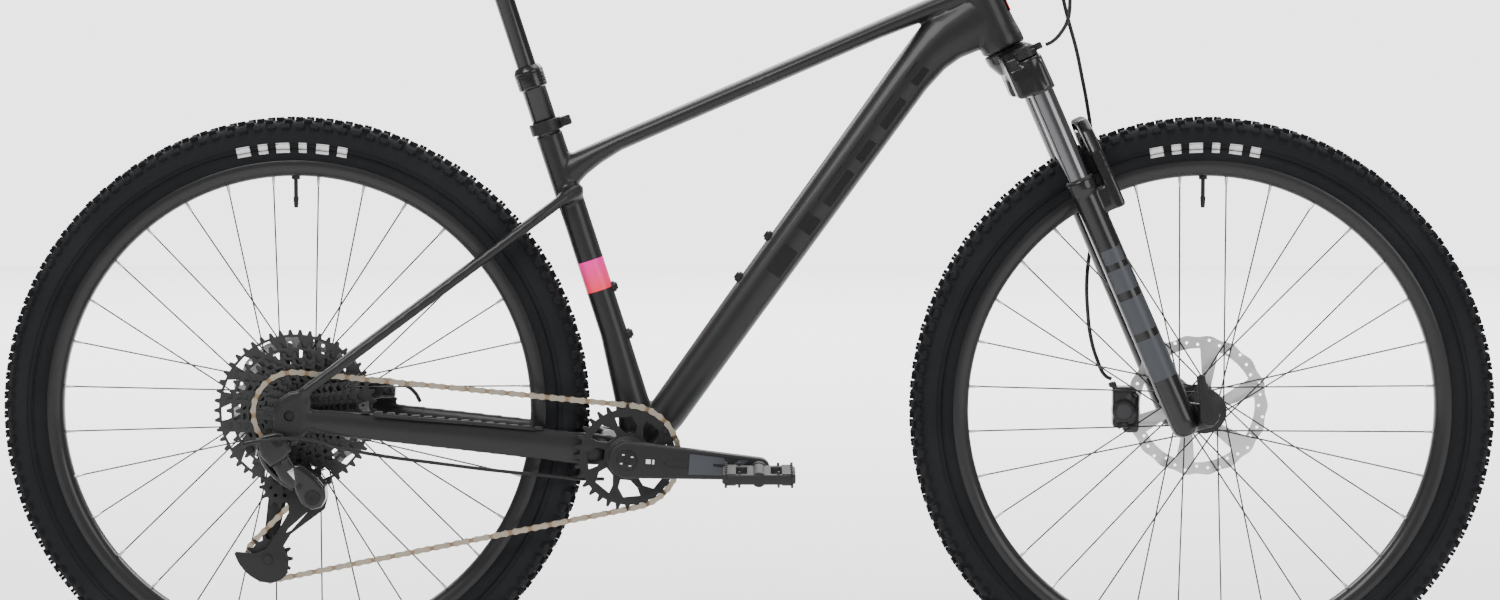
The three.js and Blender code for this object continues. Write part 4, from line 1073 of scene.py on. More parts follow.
def make_chainring(look):
    x, z = BRACKET.x, BRACKET.z
    root = pitch_radius(RING_TEETH) - TOOTH_ROOT
    holes = [ring_of(0.0128, 32, x, z)]
    holes += slot_ring(8, 0.0300, 0.0515, 0.76, x, z, 0.10)
    outline = toothed(RING_TEETH, root, root + TOOTH_HEIGHT, x, z)
    ring = sheet_metal(outline, RING_Y - 0.0017, RING_Y + 0.0017, 0.0006, holes)
    boss = turned([(0.0128, -0.0680), (0.0185, -0.0680), (0.0205, -0.0560), (0.0270, -0.0535),
                   (0.0270, -0.0500), (0.0128, -0.0490)], 56, True, along_y(Vector((x, 0, z))))
    pin = rod((x + 0.0470, -0.0500, z + 0.0330), (x + 0.0470, -0.0590, z + 0.0330), 0.0028, sides=16,
              edge=0.0005)
    done([ring, boss, pin], "chainring_narrow_wide", "cranks", look["forged"], ["chainring"])


def crank_arm(side, end):
    """One forged arm: a tapering bar with rounded edges and a shallow groove along its outer face."""
    start = Vector((BRACKET.x, 0, BRACKET.z))
    far = Vector(end) - start
    length = math.hypot(far.x, far.z)
    near_y, out_y = (0.0672, 0.0862)
    outline = []
    for radius, centre, low, high in ((0.0233, 0.0, 90, 270), (0.0140, length, -90, 90)):
        for i in range(13):
            angle = math.radians(low + (high - low) * i / 12)
            outline.append((centre + radius * math.cos(angle), radius * math.sin(angle)))
    arm = sheet_metal(outline, -out_y, -near_y, 0.0038, segments=4)
    groove = sheet_metal([(0.052, 0.0052), (0.130, 0.0032), (0.135, 0.0), (0.130, -0.0032), (0.052, -0.0052),
                          (0.046, 0.0)], -out_y - 0.004, -out_y + 0.0009, 0.0003, segments=1)
    drill(arm, groove)
    turn = Matrix.Rotation(-math.atan2(far.z, far.x), 4, "Y")
    flip = Matrix.Identity(4) if side < 0 else Matrix.Diagonal((1, -1, 1, 1))
    moved(arm, Matrix.Translation(start) @ flip @ turn)
    outward(arm)
    smooth(arm, 40)
    return arm, Matrix.Translation(start) @ flip @ turn


def make_cranks(look):
    ends = {"right": (-1, (0.0116, 0, 0.3045)), "left": (1, (-0.3176, 0, 0.3275))}
    for name, (side, end) in ends.items():
        arm, place = crank_arm(side, end)
        pieces = [arm]
        pieces.append(rod((end[0], side * 0.0850, end[2]), (end[0], side * 0.1000, end[2]), 0.0105,
                          sides=32, edge=0.0008))
        if side < 0:
            pieces.append(rod(BRACKET + Vector((0, -0.0680, 0)), BRACKET + Vector((0, 0.0680, 0)), 0.0119,
                              sides=40))
        done(pieces, f"crank_arm_{name}_forging", "cranks", look["forged"], [f"crank_arm_{name}"])
        cap = turned([(0.0, -0.0874), (0.0040, -0.0872), (0.0042, -0.0884), (0.0100, -0.0886),
                      (0.0118, -0.0880), (0.0122, -0.0862), (0.0122, -0.0845), (0.0, -0.0845)], 48,
                     place=along_y(ORIGIN))
        done(moved(cap, place), f"crank_cap_{name}", "cranks", look["alloy"])
        lines = []
        # Plain bars stand in for lettering, and lighter panels for the printed end of the arm.
        for x0, x1, z0, z1 in ((0.024, 0.030, -0.0028, 0.0028), (0.032, 0.0345, -0.0028, 0.0028)):
            lines.append(block((x0, -0.0867, z0), (x1, -0.0860, z1), 0.0001, 1))
        for dot in range(4):
            angle = dot * math.pi / 2 + 0.6
            mid_x, mid_z = 0.0080 * math.cos(angle), 0.0080 * math.sin(angle)
            lines.append(block((mid_x - 0.0016, -0.0889, mid_z - 0.0007),
                               (mid_x + 0.0016, -0.0884, mid_z + 0.0007),
                               0.0001, 1))
        done(moved(merge("lines", lines), place), f"crank_marks_{name}", "cranks", look["white"])
        panels = []
        for outline in ([(0.0780, -0.0128), (0.1210, -0.0110), (0.1290, -0.0020), (0.1080, 0.0000),
                         (0.1080, 0.0030), (0.1270, 0.0030), (0.1200, 0.0112), (0.0780, 0.0130)],
                        [(0.1340, 0.0050), (0.1400, 0.0100), (0.1520, 0.0100), (0.1410, 0.0010)]):
            panels.append(sheet_metal(outline, -0.0865, -0.0858, 0.0001, segments=1))
        done(moved(merge("panels", panels), place), f"crank_panels_{name}", "cranks", look["grey"])


def make_pedals(look):
    for name, side, centre in (("right", -1, Vector((0.0116, -0.142, 0.3045))),
                               ("left", 1, Vector((-0.3176, 0.142, 0.3275)))):
        outline = [(-0.0450, -0.0380), (-0.0380, -0.0480), (0.0380, -0.0480), (0.0450, -0.0380),
                   (0.0450, 0.0380), (0.0380, 0.0480), (-0.0380, 0.0480), (-0.0450, 0.0380)]
        windows = [[(s * 0.0150, -0.0350), (s * 0.0340, -0.0350), (s * 0.0360, -0.0320), (s * 0.0360, 0.0320),
                    (s * 0.0340, 0.0350), (s * 0.0150, 0.0350)] for s in (-1, 1)]
        body = sheet_metal(outline, -0.0062, 0.0062, 0.0022, windows, 3)
        moved(body, Matrix.Rotation(math.pi / 2, 4, "X"))
        parts = [body, rod((0, -0.0470, 0), (0, 0.0470, 0), 0.0092, sides=32, edge=0.0012)]
        for s in (-1, 1):
            for v in (-1, 1):
                parts.append(block((s * 0.0350 - 0.0070, -0.0460, v * 0.0062 - 0.0012),
                                   (s * 0.0350 + 0.0070, 0.0460, v * 0.0062 + 0.0012), 0.0010))
        pins = []
        for s in (-1, 1):
            for y in (-0.0400, -0.0200, 0.0, 0.0200, 0.0400):
                pins.append(rod((s * 0.0405, y, -0.0108), (s * 0.0405, y, 0.0108), 0.0017,
                                sides=10, edge=0.0003))
            for y in (-0.0430, 0.0430):
                pins.append(rod((s * 0.0240, y, -0.0100), (s * 0.0240, y, 0.0100), 0.0017,
                                sides=10, edge=0.0003))
        place = Matrix.Translation(centre) @ Matrix.Diagonal((1, side * -1, 1, 1))
        pedal = moved(merge("pedal", parts), place)
        outward(pedal)
        done(pedal, f"pedal_{name}_body", f"pedal_{name}", look["plastic"], [f"pedal_{name}"])
        studs = moved(merge("pins", pins), place)
        outward(studs)
        done(studs, f"pedal_{name}_pins", f"pedal_{name}", look["dark_steel"])


def make_pulley(name, centre, teeth, look):
    root = pitch_radius(teeth) - TOOTH_ROOT
    holes = [ring_of(0.0034, 20)] + [ring_of(0.0024, 12, 0.0115 * math.cos(a), 0.0115 * math.sin(a))
                                     for a in (k * math.pi / 3 for k in range(6))]
    wheel = sheet_metal(toothed(teeth, root, root + 0.0062), -0.0012, 0.0012, 0.0003, holes, 1)
    moved(wheel, Matrix.Translation(centre))
    hub = turned([(0.0034, -0.0024), (0.0072, -0.0024), (0.0072, 0.0024), (0.0034, 0.0024)], 32, True,
                 along_y(centre))
    done([wheel, hub], f"{name}_toothed", name, look["plastic"], [name])


def make_derailleur(look):
    body = [sheet_metal([(-0.6150, 0.3430), (-0.6060, 0.3475), (-0.5900, 0.3515), (-0.5800, 0.3500),
                         (-0.5720, 0.3400), (-0.5700, 0.3290), (-0.5780, 0.3180), (-0.5960, 0.3080),
                         (-0.6080, 0.3210)], -0.0950, -0.0850, 0.0030, segments=3),
            sheet_metal([(-0.6010, 0.3190), (-0.5850, 0.3290), (-0.5760, 0.3260), (-0.5650, 0.3050),
                         (-0.5560, 0.2860), (-0.5700, 0.2800), (-0.5850, 0.2920)], -0.0900, -0.0780, 0.0028,
                        segments=3),
            sheet_metal([(-0.5700, 0.3110), (-0.5600, 0.3120), (-0.5380, 0.2950), (-0.5290, 0.2830),
                         (-0.5280, 0.2680), (-0.5340, 0.2570), (-0.5460, 0.2540), (-0.5580, 0.2600),
                         (-0.5660, 0.2760)], -0.0930, -0.0560, 0.0050, segments=4),
            tube([(-0.6120, -0.0800, 0.3380), (-0.6060, -0.0780, 0.3130), (-0.5900, -0.0760, 0.2930),
                  (-0.5700, -0.0740, 0.2780)], 0.0042, 14, 8)]
    skin = welded(body, 0.0011, 3)
    done(skin, "derailleur_knuckles", "frame", look["gloss"], ["derailleur_body"])
    details = [rod(HANGER + Vector((0, -0.0045, 0)), HANGER + Vector((0, -0.0088, 0)), 0.0085, edge=0.0012,
                   sides=40),
               rod((-0.5443, -0.0925, 0.2695), (-0.5443, -0.0950, 0.2695), 0.0098, edge=0.0008, sides=40),
               rod((-0.6230, -0.0880, 0.3290), (-0.6230, -0.0790, 0.3290), 0.0052, edge=0.0006),
               rod((-0.5610, -0.0950, 0.2840), (-0.5610, -0.0880, 0.2840), 0.0034, sides=20),
               rod((-0.5870, -0.0930, 0.3120), (-0.5870, -0.0890, 0.3120), 0.0034, sides=20)]
    sockets = [rod(p + Vector((0, -0.012, 0)), p + Vector((0, -0.0062, 0)), 0.0030, sides=6)
               for p in (HANGER, Vector((-0.5443, -0.0880, 0.2695)))]
    fittings = drill(merge("details", details), *sockets)
    done(fittings, "derailleur_bolts", "frame", look["alloy"])
    plate = sheet_metal([(-0.5760, 0.3020), (-0.5660, 0.3085), (-0.5575, 0.2990), (-0.5660, 0.2905)],
                        -0.0912, -0.0896, 0.0006)
    done(plate, "derailleur_plate", "frame", look["steel"])
    outer = sheet_metal([
        (-0.5300, 0.2640), (-0.5340, 0.2500), (-0.5420, 0.2440), (-0.5771, 0.2180), (-0.5870, 0.2020),
        (-0.5800, 0.1860), (-0.5815, 0.1690), (-0.5927, 0.1592), (-0.6083, 0.1562), (-0.6328, 0.1690),
        (-0.6462, 0.1890), (-0.6473, 0.1960), (-0.6217, 0.1935), (-0.6080, 0.2000), (-0.5960, 0.2180),
        (-0.5800, 0.2450), (-0.5780, 0.2750), (-0.5660, 0.2860), (-0.5440, 0.2880), (-0.5340, 0.2800)],
        -0.0520, -0.0494, 0.0008,
        [[(-0.5560, 0.2460), (-0.5760, 0.2285), (-0.5800, 0.2250), (-0.5830, 0.2200), (-0.5770, 0.2225)]])
    hook = tube([(-0.6470, -0.0500, 0.1945), (-0.6400, -0.0500, 0.1800), (-0.6260, -0.0500, 0.1655),
                 (-0.6090, -0.0500, 0.1585), (-0.5930, -0.0500, 0.1610), (-0.5825, -0.0500, 0.1705)],
                0.0022, 10, 6)
    inner = sheet_metal([
        (-0.5820, 0.2850), (-0.5990, 0.2870), (-0.6060, 0.2740), (-0.6120, 0.2200), (-0.6200, 0.1870),
        (-0.6120, 0.1720), (-0.6000, 0.1700), (-0.5920, 0.1830), (-0.5960, 0.2100), (-0.5830, 0.2640)],
        -0.0358, -0.0334, 0.0007)
    bolts = [rod(c + Vector((0, -0.0115, 0)), c + Vector((0, 0.0100, 0)), 0.0032, sides=20)
             for c in (GUIDE, TENSION)]
    heads = [rod(c + Vector((0, -0.0125, 0)), c + Vector((0, -0.0095, 0)), 0.0060, sides=24, edge=0.0006)
             for c in (GUIDE, TENSION)]
    done([outer, inner, hook, *bolts, *heads], "derailleur_cage_plates", "derailleur_cage", look["forged"],
         ["derailleur_cage"])
    make_pulley("guide_pulley", GUIDE, 12, look)
    make_pulley("tension_pulley", TENSION, 14, look)


CHAIN_COG = 6
CHAIN_WHEELS = ((BRACKET, RING_TEETH, 1), (TENSION, 14, 1), (GUIDE, 12, -1), (REAR_AXLE, COGS[CHAIN_COG], 1))


def chain_points():
    """The pitch line of the chain round its four wheels, with the wheel that each point belongs to."""
    wheels = [((c.x, c.z), pitch_radius(teeth), turn) for c, teeth, turn in CHAIN_WHEELS]
    headings = []
    for i, (a, ra, ta) in enumerate(wheels):
        b, rb, tb = wheels[(i + 1) % len(wheels)]
        run = math.hypot(b[0] - a[0], b[1] - a[1])
        headings.append(math.atan2(b[1] - a[1], b[0] - a[0]) - math.asin((ta * ra - tb * rb) / run))
    line = []
    for i, (centre, radius, turn) in enumerate(wheels):
        begin = headings[i - 1]
        sweep = headings[i] - begin
        while sweep * turn > 0:
            sweep -= turn * 2 * math.pi
        while sweep * turn < -2 * math.pi:
            sweep += turn * 2 * math.pi
        steps = max(6, math.ceil(abs(sweep) / math.radians(3)))
        for k in range(steps + 1):
            angle = begin + sweep * k / steps + math.pi / 2
            line.append((centre[0] + turn * radius * math.cos(angle),
                         centre[1] + turn * radius * math.sin(angle), i, k == steps))
    return line


def chain_joints():
    """Pin centres one pitch apart round the chain, each with the stretch it lies on."""
    line = chain_points()
    spans = []
    for i, a in enumerate(line):
        b = line[(i + 1) % len(line)]
        spans.append((a, b, math.hypot(b[0] - a[0], b[1] - a[1])))
    total = sum(span for _, _, span in spans)
    count = 2 * round(total / PITCH / 2)
    joints, reach, index = [], 0.0, 0
    for n in range(count):
        target = total * n / count
        while index < len(spans) - 1 and reach + spans[index][2] < target:
            reach += spans[index][2]
            index += 1
        a, b, span = spans[index]
        t = (target - reach) / span
        x, z = a[0] + (b[0] - a[0]) * t, a[1] + (b[1] - a[1]) * t
        share = min(1, max(0, (x - BRACKET.x) / (REAR_AXLE.x - BRACKET.x)))
        y = RING_Y + share * (COG_Y[CHAIN_COG] - RING_Y)
        joints.append((Vector((x, y, z)), (a[2], a[3])))
    return joints


def link_plates(pinch, low, high):
    """A pair of figure-eight plates, one on each side of the chain's centre."""
    outline = []
    for centre, begin in ((0.0, 60), (PITCH, -120)):
        for i in range(7):
            angle = math.radians(begin + 40 * i)
            outline.append((centre + 0.0040 * math.cos(angle), 0.0040 * math.sin(angle)))
        outline.append((PITCH / 2, pinch if centre else -pinch))
    return [sheet_metal(outline, low, high, 0.0001, segments=1),
            sheet_metal(outline, -high, -low, 0.0001, segments=1)]


def make_chain(look):
    joints = chain_joints()
    outer = link_plates(0.0028, 0.0018, 0.0026)
    outer += [rod((x, -0.0029, 0), (x, 0.0029, 0), 0.0018, sides=10) for x in (0.0, PITCH)]
    outer = merge("outer_link", outer)
    inner = link_plates(0.0025, 0.0010, 0.0017)
    inner += [rod((x, -0.0012, 0), (x, 0.0012, 0), 0.0038, sides=12) for x in (0.0, PITCH)]
    inner = merge("inner_link", inner)
    stretches = {"ring": [], "cage": [], "feed": [], "lower": []}
    for i, (start, (wheel, last)) in enumerate(joints):
        end = joints[(i + 1) % len(joints)][0]
        if wheel == 0 and last:
            key = "lower"
        elif wheel == 1 or (wheel == 2 and not last):
            key = "cage"
        elif wheel == 2:
            key = "feed"
        else:
            key = "ring"
        along = end - start
        frame_x = along.normalized()
        frame_y = Vector((0, 1, 0))
        frame_z = frame_x.cross(frame_y).normalized()
        turn = Matrix((frame_x, frame_y, frame_z)).transposed().to_4x4()
        scale = Matrix.Diagonal((along.length / PITCH, 1, 1, 1))
        stretches[key].append((i % 2, Matrix.Translation(start) @ turn @ scale))
    riders = {"ring": "frame", "cage": "derailleur_cage"}
    first = True
    for key, links in stretches.items():
        for kind, unit, colour in ((0, outer, "outer_link"), (1, inner, "inner_link")):
            places = [place for parity, place in links if parity == kind]
            if not places:
                continue
            seed = unit.copy()
            seed.data = unit.data.copy()
            bpy.context.collection.objects.link(seed)
            piece = merge("links", copies(seed, places))
            name = f"chain_{key}_{colour}s"
            piece.name = name
            piece.data.name = name
            outward(piece)
            piece.data.materials.clear()
            piece.data.materials.append(look[colour])
            if key in riders:
                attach(piece, riders[key])
            else:
                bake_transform(piece)
            if first:
                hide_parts("chain")
                first = False
    for unit in (outer, inner):
        bpy.data.objects.remove(unit)


# ---------------------------------------------------------------- cockpit

BAR_CENTRE = Vector((0.3189, 0, 0.9843))
BAR_SWEEP = math.tan(math.radians(8))


def on_bar(side, out, dx=0.0, dz=0.0):
    """A point on the straight end of the bar, out from the centre, moved forward by dx and up by dz."""
    return Vector((BAR_CENTRE.x - (out - 0.170) * BAR_SWEEP + dx, side * out,
                   BAR_CENTRE.z + 0.014 + (out - 0.170) * 0.05 + dz))


def make_stem_and_bar(look):
    body = [rod((0, 0, 0.1255), (0, 0, 0.1645), 0.0190, sides=48, edge=0.0015),
            rod((0.008, 0, 0.145), (0.052, 0, 0.145), 0.0158, 0.0150, 40),
            rod((0.060, -0.0245, 0.145), (0.060, 0.0245, 0.145), 0.0205, sides=48, edge=0.0015),
            block((0.052, -0.0225, 0.1235), (0.074, 0.0225, 0.1665), 0.0050, 3),
            block((-0.0270, -0.0090, 0.1290), (-0.0120, 0.0090, 0.1610), 0.0030, 3)]
    stem = welded(body, 0.0014, 4)
    drill(stem, rod((0, 0, 0.110), (0, 0, 0.180), 0.0146, sides=40),
          rod((0.060, -0.05, 0.145), (0.060, 0.05, 0.145), 0.0162, sides=48),
          block((0.0685, -0.0300, 0.1440), (0.0900, 0.0300, 0.1460), 0))
    bpy.ops.object.shade_smooth()
    done(moved(stem, FORK), "stem_body", "steering", look["alloy"], ["stem"])
    bolts = []
    for y in (-0.0165, 0.0165):
        for z in (0.1290, 0.1610):
            bolts.append(turned([(0.0, 0.0), (0.0034, 0.0), (0.0034, 0.0032), (0.0018, 0.0034),
                                 (0.0018, 0.0016), (0.0, 0.0016)], 20,
                                place=aimed((0.0738, y, z), (0.080, y, z))))
    for z in (0.1350, 0.1550):
        bolts.append(rod((-0.0195, -0.0100, z), (-0.0195, 0.0100, z), 0.0032, sides=20, edge=0.0004))
    bolts.append(turned([(0.0182, 0.1650), (0.0182, 0.1672), (0.0160, 0.1684), (0.0050, 0.1684),
                         (0.0042, 0.1666), (0.0, 0.1666)], 40))
    done(moved(merge("stem_bolts", bolts), FORK), "stem_bolts", "steering", look["dark_steel"])
    cover = turned([(0.0147, 0.1084), (0.0268, 0.1084), (0.0262, 0.1120), (0.0240, 0.1162), (0.0190, 0.1196),
                    (0.0180, 0.1200), (0.0180, 0.1242), (0.0147, 0.1242)], 56, True, FORK)
    done(cover, "headset_cone", "steering", look["plastic"], ["headset_cover"])
    bar = [turned([(0.0110, -0.1005), (0.0135, -0.0800), (0.0159, -0.0560), (0.0159, 0.0560),
                   (0.0135, 0.0800), (0.0110, 0.1005)], 40, place=along_y(BAR_CENTRE))]
    for side in (-1, 1):
        bar.append(tube([BAR_CENTRE + Vector((0, side * 0.060, 0)),
                         BAR_CENTRE + Vector((0, side * 0.098, 0.0025)),
                         BAR_CENTRE + Vector((0, side * 0.135, 0.0082)),
                         on_bar(side, 0.172), on_bar(side, 0.280), on_bar(side, 0.380)], 0.0111, 20, 8))
    done(bar, "handlebar_tube", "steering", look["alloy"], ["handlebar"])
    for side, name in ((-1, "right"), (1, "left")):
        profile = [(0.0113, 0.0)]
        for i in range(26):
            z = 0.0015 + i * 0.0050
            profile += [(0.0146, z), (0.0157, z + 0.0010), (0.0157, z + 0.0030), (0.0146, z + 0.0040)]
        profile += [(0.0158, 0.1318), (0.0150, 0.1330), (0.0113, 0.1330)]
        grip = turned(profile, 40, True, aimed(on_bar(side, 0.2465), on_bar(side, 0.379)))
        done(grip, f"grip_{name}_ribbed", "steering", look["grip"], [f"grip_{name}"])
        rings = [turned([(0.0113, 0.0), (0.0160, 0.0), (0.0163, 0.0010), (0.0163, 0.0050), (0.0158, 0.0058),
                         (0.0113, 0.0058)], 40, True, aimed(on_bar(side, 0.2470), on_bar(side, 0.390)))]
        rings.append(turned([(0.0, 0.0), (0.0140, 0.0), (0.0140, 0.0010), (0.0118, 0.0022),
                             (0.0, 0.0022)], 40, place=aimed(on_bar(side, 0.3785), on_bar(side, 0.390))))
        done(rings, f"grip_{name}_rings", "steering", look["alloy"])


def make_controls(look):
    for side, name in ((-1, "right"), (1, "left")):
        body = [rod(on_bar(side, 0.191), on_bar(side, 0.205), 0.0158, sides=40, edge=0.0015),
                rod(on_bar(side, 0.199, 0.004, -0.001), on_bar(side, 0.199, 0.026, -0.002), 0.0068, sides=24),
                rod(on_bar(side, 0.150, 0.024, -0.002), on_bar(side, 0.222, 0.022, -0.004),
                    0.0082, 0.0098, 32, 0.0020),
                rod(on_bar(side, 0.160, 0.024, 0.004), on_bar(side, 0.206, 0.023, 0.003), 0.0068, 0.0074, 28,
                    0.0030),
                rod(on_bar(side, 0.198, 0, -0.012), on_bar(side, 0.198, 0, -0.0255), 0.0100, sides=28,
                    edge=0.0020)]
        skin = welded(body, 0.0013, 4)
        bore = rod(on_bar(side, 0.150), on_bar(side, 0.240), 0.0113, sides=32)
        drill(skin, bore)
        bpy.ops.object.shade_smooth()
        done(skin, f"brake_master_{name}_body", "steering", look["gloss"], [f"brake_master_{name}"])
        low = BAR_CENTRE + Vector((-0.019, side * 0.176 - 0.0150, -0.0235))
        pod = block(low, low + Vector((0.040, 0.0300, 0.0150)), 0.0045, 3)
        cap = rod((BAR_CENTRE.x + 0.001, side * 0.176, BAR_CENTRE.z - 0.0262),
                  (BAR_CENTRE.x + 0.001, side * 0.176, BAR_CENTRE.z - 0.0225), 0.0105, edge=0.0010, sides=36)
        done([pod, cap], f"control_pod_{name}", "steering", look["plastic"])
        knob = on_bar(side, 0.226, 0.036, -0.004)
        lever = [rod(knob, on_bar(side, 0.226, 0.048, -0.004), 0.0066, 0.0058, 24, 0.0008),
                 tube([on_bar(side, 0.225, 0.045, -0.004), on_bar(side, 0.240, 0.0495, -0.0045),
                       on_bar(side, 0.262, 0.0520, -0.006), on_bar(side, 0.282, 0.0545, -0.0065),
                       on_bar(side, 0.298, 0.0585, -0.007)], 0.0048, 16, 8),
                 rod(on_bar(side, 0.294, 0.0575, -0.007), on_bar(side, 0.300, 0.0595, -0.007), 0.0054,
                     sides=24, edge=0.0020)]
        blade = welded(lever, 0.0010, 3)
        node = f"brake_lever_{name}"
        done(blade, f"{node}_blade", node, look["alloy"], [node])
    for name, side in (("shift_lever", -1), ("lockout_lever", 1)):
        paddle = welded([
            rod(on_bar(side, 0.190, -0.004, -0.052), on_bar(side, 0.215, -0.015, -0.0542),
                0.0048, 0.0052, 20, 0.001),
            rod(on_bar(side, 0.208, -0.012, -0.0536), on_bar(side, 0.2318, -0.0238, -0.0558),
                0.0055, 0.0068, 24, 0.0025)], 0.0010, 3)
        done(paddle, f"{name}_paddle", name, look["plastic"], [name])


# ---------------------------------------------------------------- brakes and hoses

def make_calipers(look):
    front = [block((0.4645, 0.0305, 0.3420), (0.4950, 0.0520, 0.3960), 0.0060, 3),
             block((0.4780, 0.0305, 0.3360), (0.4990, 0.0520, 0.3880), 0.0055, 3),
             rod((0.4790, 0.0300, 0.3640), (0.4790, 0.0528, 0.3640), 0.0150, sides=40, edge=0.0012),
             rod((0.4660, 0.0400, 0.3950), (0.4640, 0.0400, 0.4010), 0.0052, sides=24)]
    rear = [block((-0.4990, 0.0305, 0.3870), (-0.4560, 0.0520, 0.4060), 0.0055, 3),
            block((-0.4930, 0.0305, 0.3805), (-0.4530, 0.0520, 0.3960), 0.0050, 3),
            rod((-0.4780, 0.0300, 0.3930), (-0.4780, 0.0528, 0.3930), 0.0130, sides=40, edge=0.0012)]
    cuts = {"front": ((0.4765, 0.0371, 0.320), (0.5100, 0.0415, 0.420)),
            "rear": ((-0.5100, 0.0371, 0.360), (-0.4625, 0.0415, 0.430))}
    centres = {"front": (0.4790, 0.3640), "rear": (-0.4780, 0.3930)}
    for name, parts, body in (("front", front, "fork_lowers"), ("rear", rear, "frame")):
        skin = welded(parts, 0.0012, 3)
        low, high = cuts[name]
        drill(skin, block(low, high, 0))
        bpy.ops.object.shade_smooth()
        done(skin, f"{name}_caliper_body", body, look["gloss"], [f"{name}_brake_caliper"])
        x, z = centres[name]
        caps = [rod((x, 0.0520, z), (x, 0.0535, z), 0.0102, sides=36, edge=0.0006),
                rod((x, 0.0305, z), (x, 0.0288, z), 0.0102, sides=36, edge=0.0006)]
        lift = 0.0190 if name == "front" else 0.0060
        reach = 0.0060 if name == "front" else 0.0165
        for s in (-1, 1):
            caps.append(rod((x + s * reach, 0.0290, z + s * lift), (x + s * reach, 0.0312, z + s * lift),
                            0.0036, sides=6))
        done(caps, f"{name}_caliper_caps", body, look["dark_steel"])


# Each ferrule covers this share of its route's first stretch.
FERRULE_SHARE = 0.55
ROUTES = {
    "shift_housing_rear": ("frame", 0.0024, [
        (-0.6288, -0.0890, 0.3360), (-0.6060, -0.1030, 0.3420), (-0.5807, -0.1030, 0.3450),
        (-0.5555, -0.1000, 0.3440), (-0.5302, -0.0920, 0.3380), (-0.5112, -0.0800, 0.3310),
        (-0.4670, -0.0660, 0.3200), (-0.3911, -0.0540, 0.3080), (-0.3216, -0.0450, 0.2980),
        (-0.2395, -0.0390, 0.2890), (-0.2150, -0.0350, 0.2860), (-0.1850, -0.0140, 0.2830)]),
    "rear_brake_hose_rear": ("frame", 0.0025, [
        (-0.4490, 0.0440, 0.3980), (-0.4400, 0.0470, 0.3950), (-0.4300, 0.0540, 0.3860),
        (-0.4240, 0.0600, 0.3740)]),
    "lockout_cable": ("steering", 0.0024, [
        (0.3690, -0.0620, 0.8330), (0.3770, -0.0610, 0.8370), (0.3880, -0.0580, 0.8480),
        (0.3964, -0.0540, 0.8630), (0.4001, -0.0460, 0.8884), (0.3990, -0.0280, 0.9250),
        (0.3850, 0.0100, 0.9550), (0.3620, 0.0800, 0.9620), (0.3450, 0.1400, 0.9660),
        (0.3300, 0.1570, 0.9720)]),
    "rear_brake_hose_front": ("steering", 0.0025, [
        (0.3475, -0.1470, 0.9950), (0.3520, -0.1250, 0.9920), (0.3580, -0.0800, 0.9750),
        (0.3450, -0.0400, 0.9550), (0.3250, -0.0140, 0.9410), (0.3050, -0.0080, 0.9370)]),
    "shift_housing_front": ("steering", 0.0024, [
        (0.3380, -0.1760, 0.9800), (0.3620, -0.1500, 0.9750), (0.3780, -0.1000, 0.9600),
        (0.3700, -0.0400, 0.9380), (0.3350, 0.0020, 0.9280), (0.3050, 0.0060, 0.9300)]),
}
FRONT_HOSE = [
    (0.3475, 0.1470, 0.9950), (0.3560, 0.1280, 0.9920), (0.3780, 0.0800, 0.9650), (0.3940, 0.0500, 0.9250),
    (0.4000, 0.0400, 0.8880), (0.4064, 0.0420, 0.8630), (0.4178, 0.0520, 0.8250), (0.4254, 0.0620, 0.7930),
    (0.4330, 0.0740, 0.7600), (0.4410, 0.0860, 0.7150), (0.4470, 0.0900, 0.6600), (0.4460, 0.0900, 0.6000),
    (0.4390, 0.0860, 0.5620), (0.4350, 0.0770, 0.5280), (0.4350, 0.0640, 0.4920), (0.4380, 0.0520, 0.4580),
    (0.4456, 0.0460, 0.4300), (0.4560, 0.0440, 0.4090), (0.4640, 0.0420, 0.4045)]


def make_cables(look):
    for name, (body, radius, points) in ROUTES.items():
        done(tube(points, radius, 12, 8), f"{name}_sheath", body, look["hose"], [name])
    hose = tube(FRONT_HOSE, 0.0025, 12, 8)
    hose = merge("front_brake_hose_sheath", [hose])
    hose.data.materials.clear()
    hose.data.materials.append(look["hose"])
    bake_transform(hose)
    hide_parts("front_brake_hose")
    ends = []
    for body, radius, points in ROUTES.values():
        if body == "frame":
            inner_end = Vector(points[0]).lerp(Vector(points[1]), FERRULE_SHARE)
            ends.append(rod(points[0], inner_end, radius + 0.0008, sides=16, edge=0.0003))
    done(ends, "hose_ferrules", "frame", look["alloy"])


# ---------------------------------------------------------------- tone-on-tone bars

def make_frame_bars(look):
    """Plain slanted bars on the down tube, in the place of lettering, a little raised from the paint."""
    bars = []
    start, along = Vector((0.012, -0.0225, 0.520)), Vector((0.5835, 0, 0.8121))
    for i, length in enumerate((0.040, 0.024, 0.052, 0.030, 0.044, 0.026)):
        middle = start + along * (0.050 + i * 0.058)
        place = Matrix.Translation(middle) @ Matrix.Rotation(-math.radians(54.3), 4, "Y")
        bar = block((-length / 2, -0.0006, -0.0100), (length / 2, 0.0006, 0.0100), 0.0004, 1)
        bars.append(moved(bar, place))
    done(bars, "down_tube_bars", "frame", look["gloss"])


# ---------------------------------------------------------------- CAD nodes that stay

NODE_FINISH = {
    "rear_thru_axle": "alloy",
}


def finish_nodes(look):
    """Gives each CAD node that stays visible its finish."""
    for name, key in NODE_FINISH.items():
        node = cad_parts[name]
        slots = node.data.materials
        slots.clear()
        slots.append(look[key])


# ---------------------------------------------------------------- stage

CAMERA_AT = Vector((0.0007, -4.43, 0.858))
CAMERA_PITCH = math.radians(3.5)
CAMERA_LENS = 84.1
CAMERA_SHIFT = -0.0407


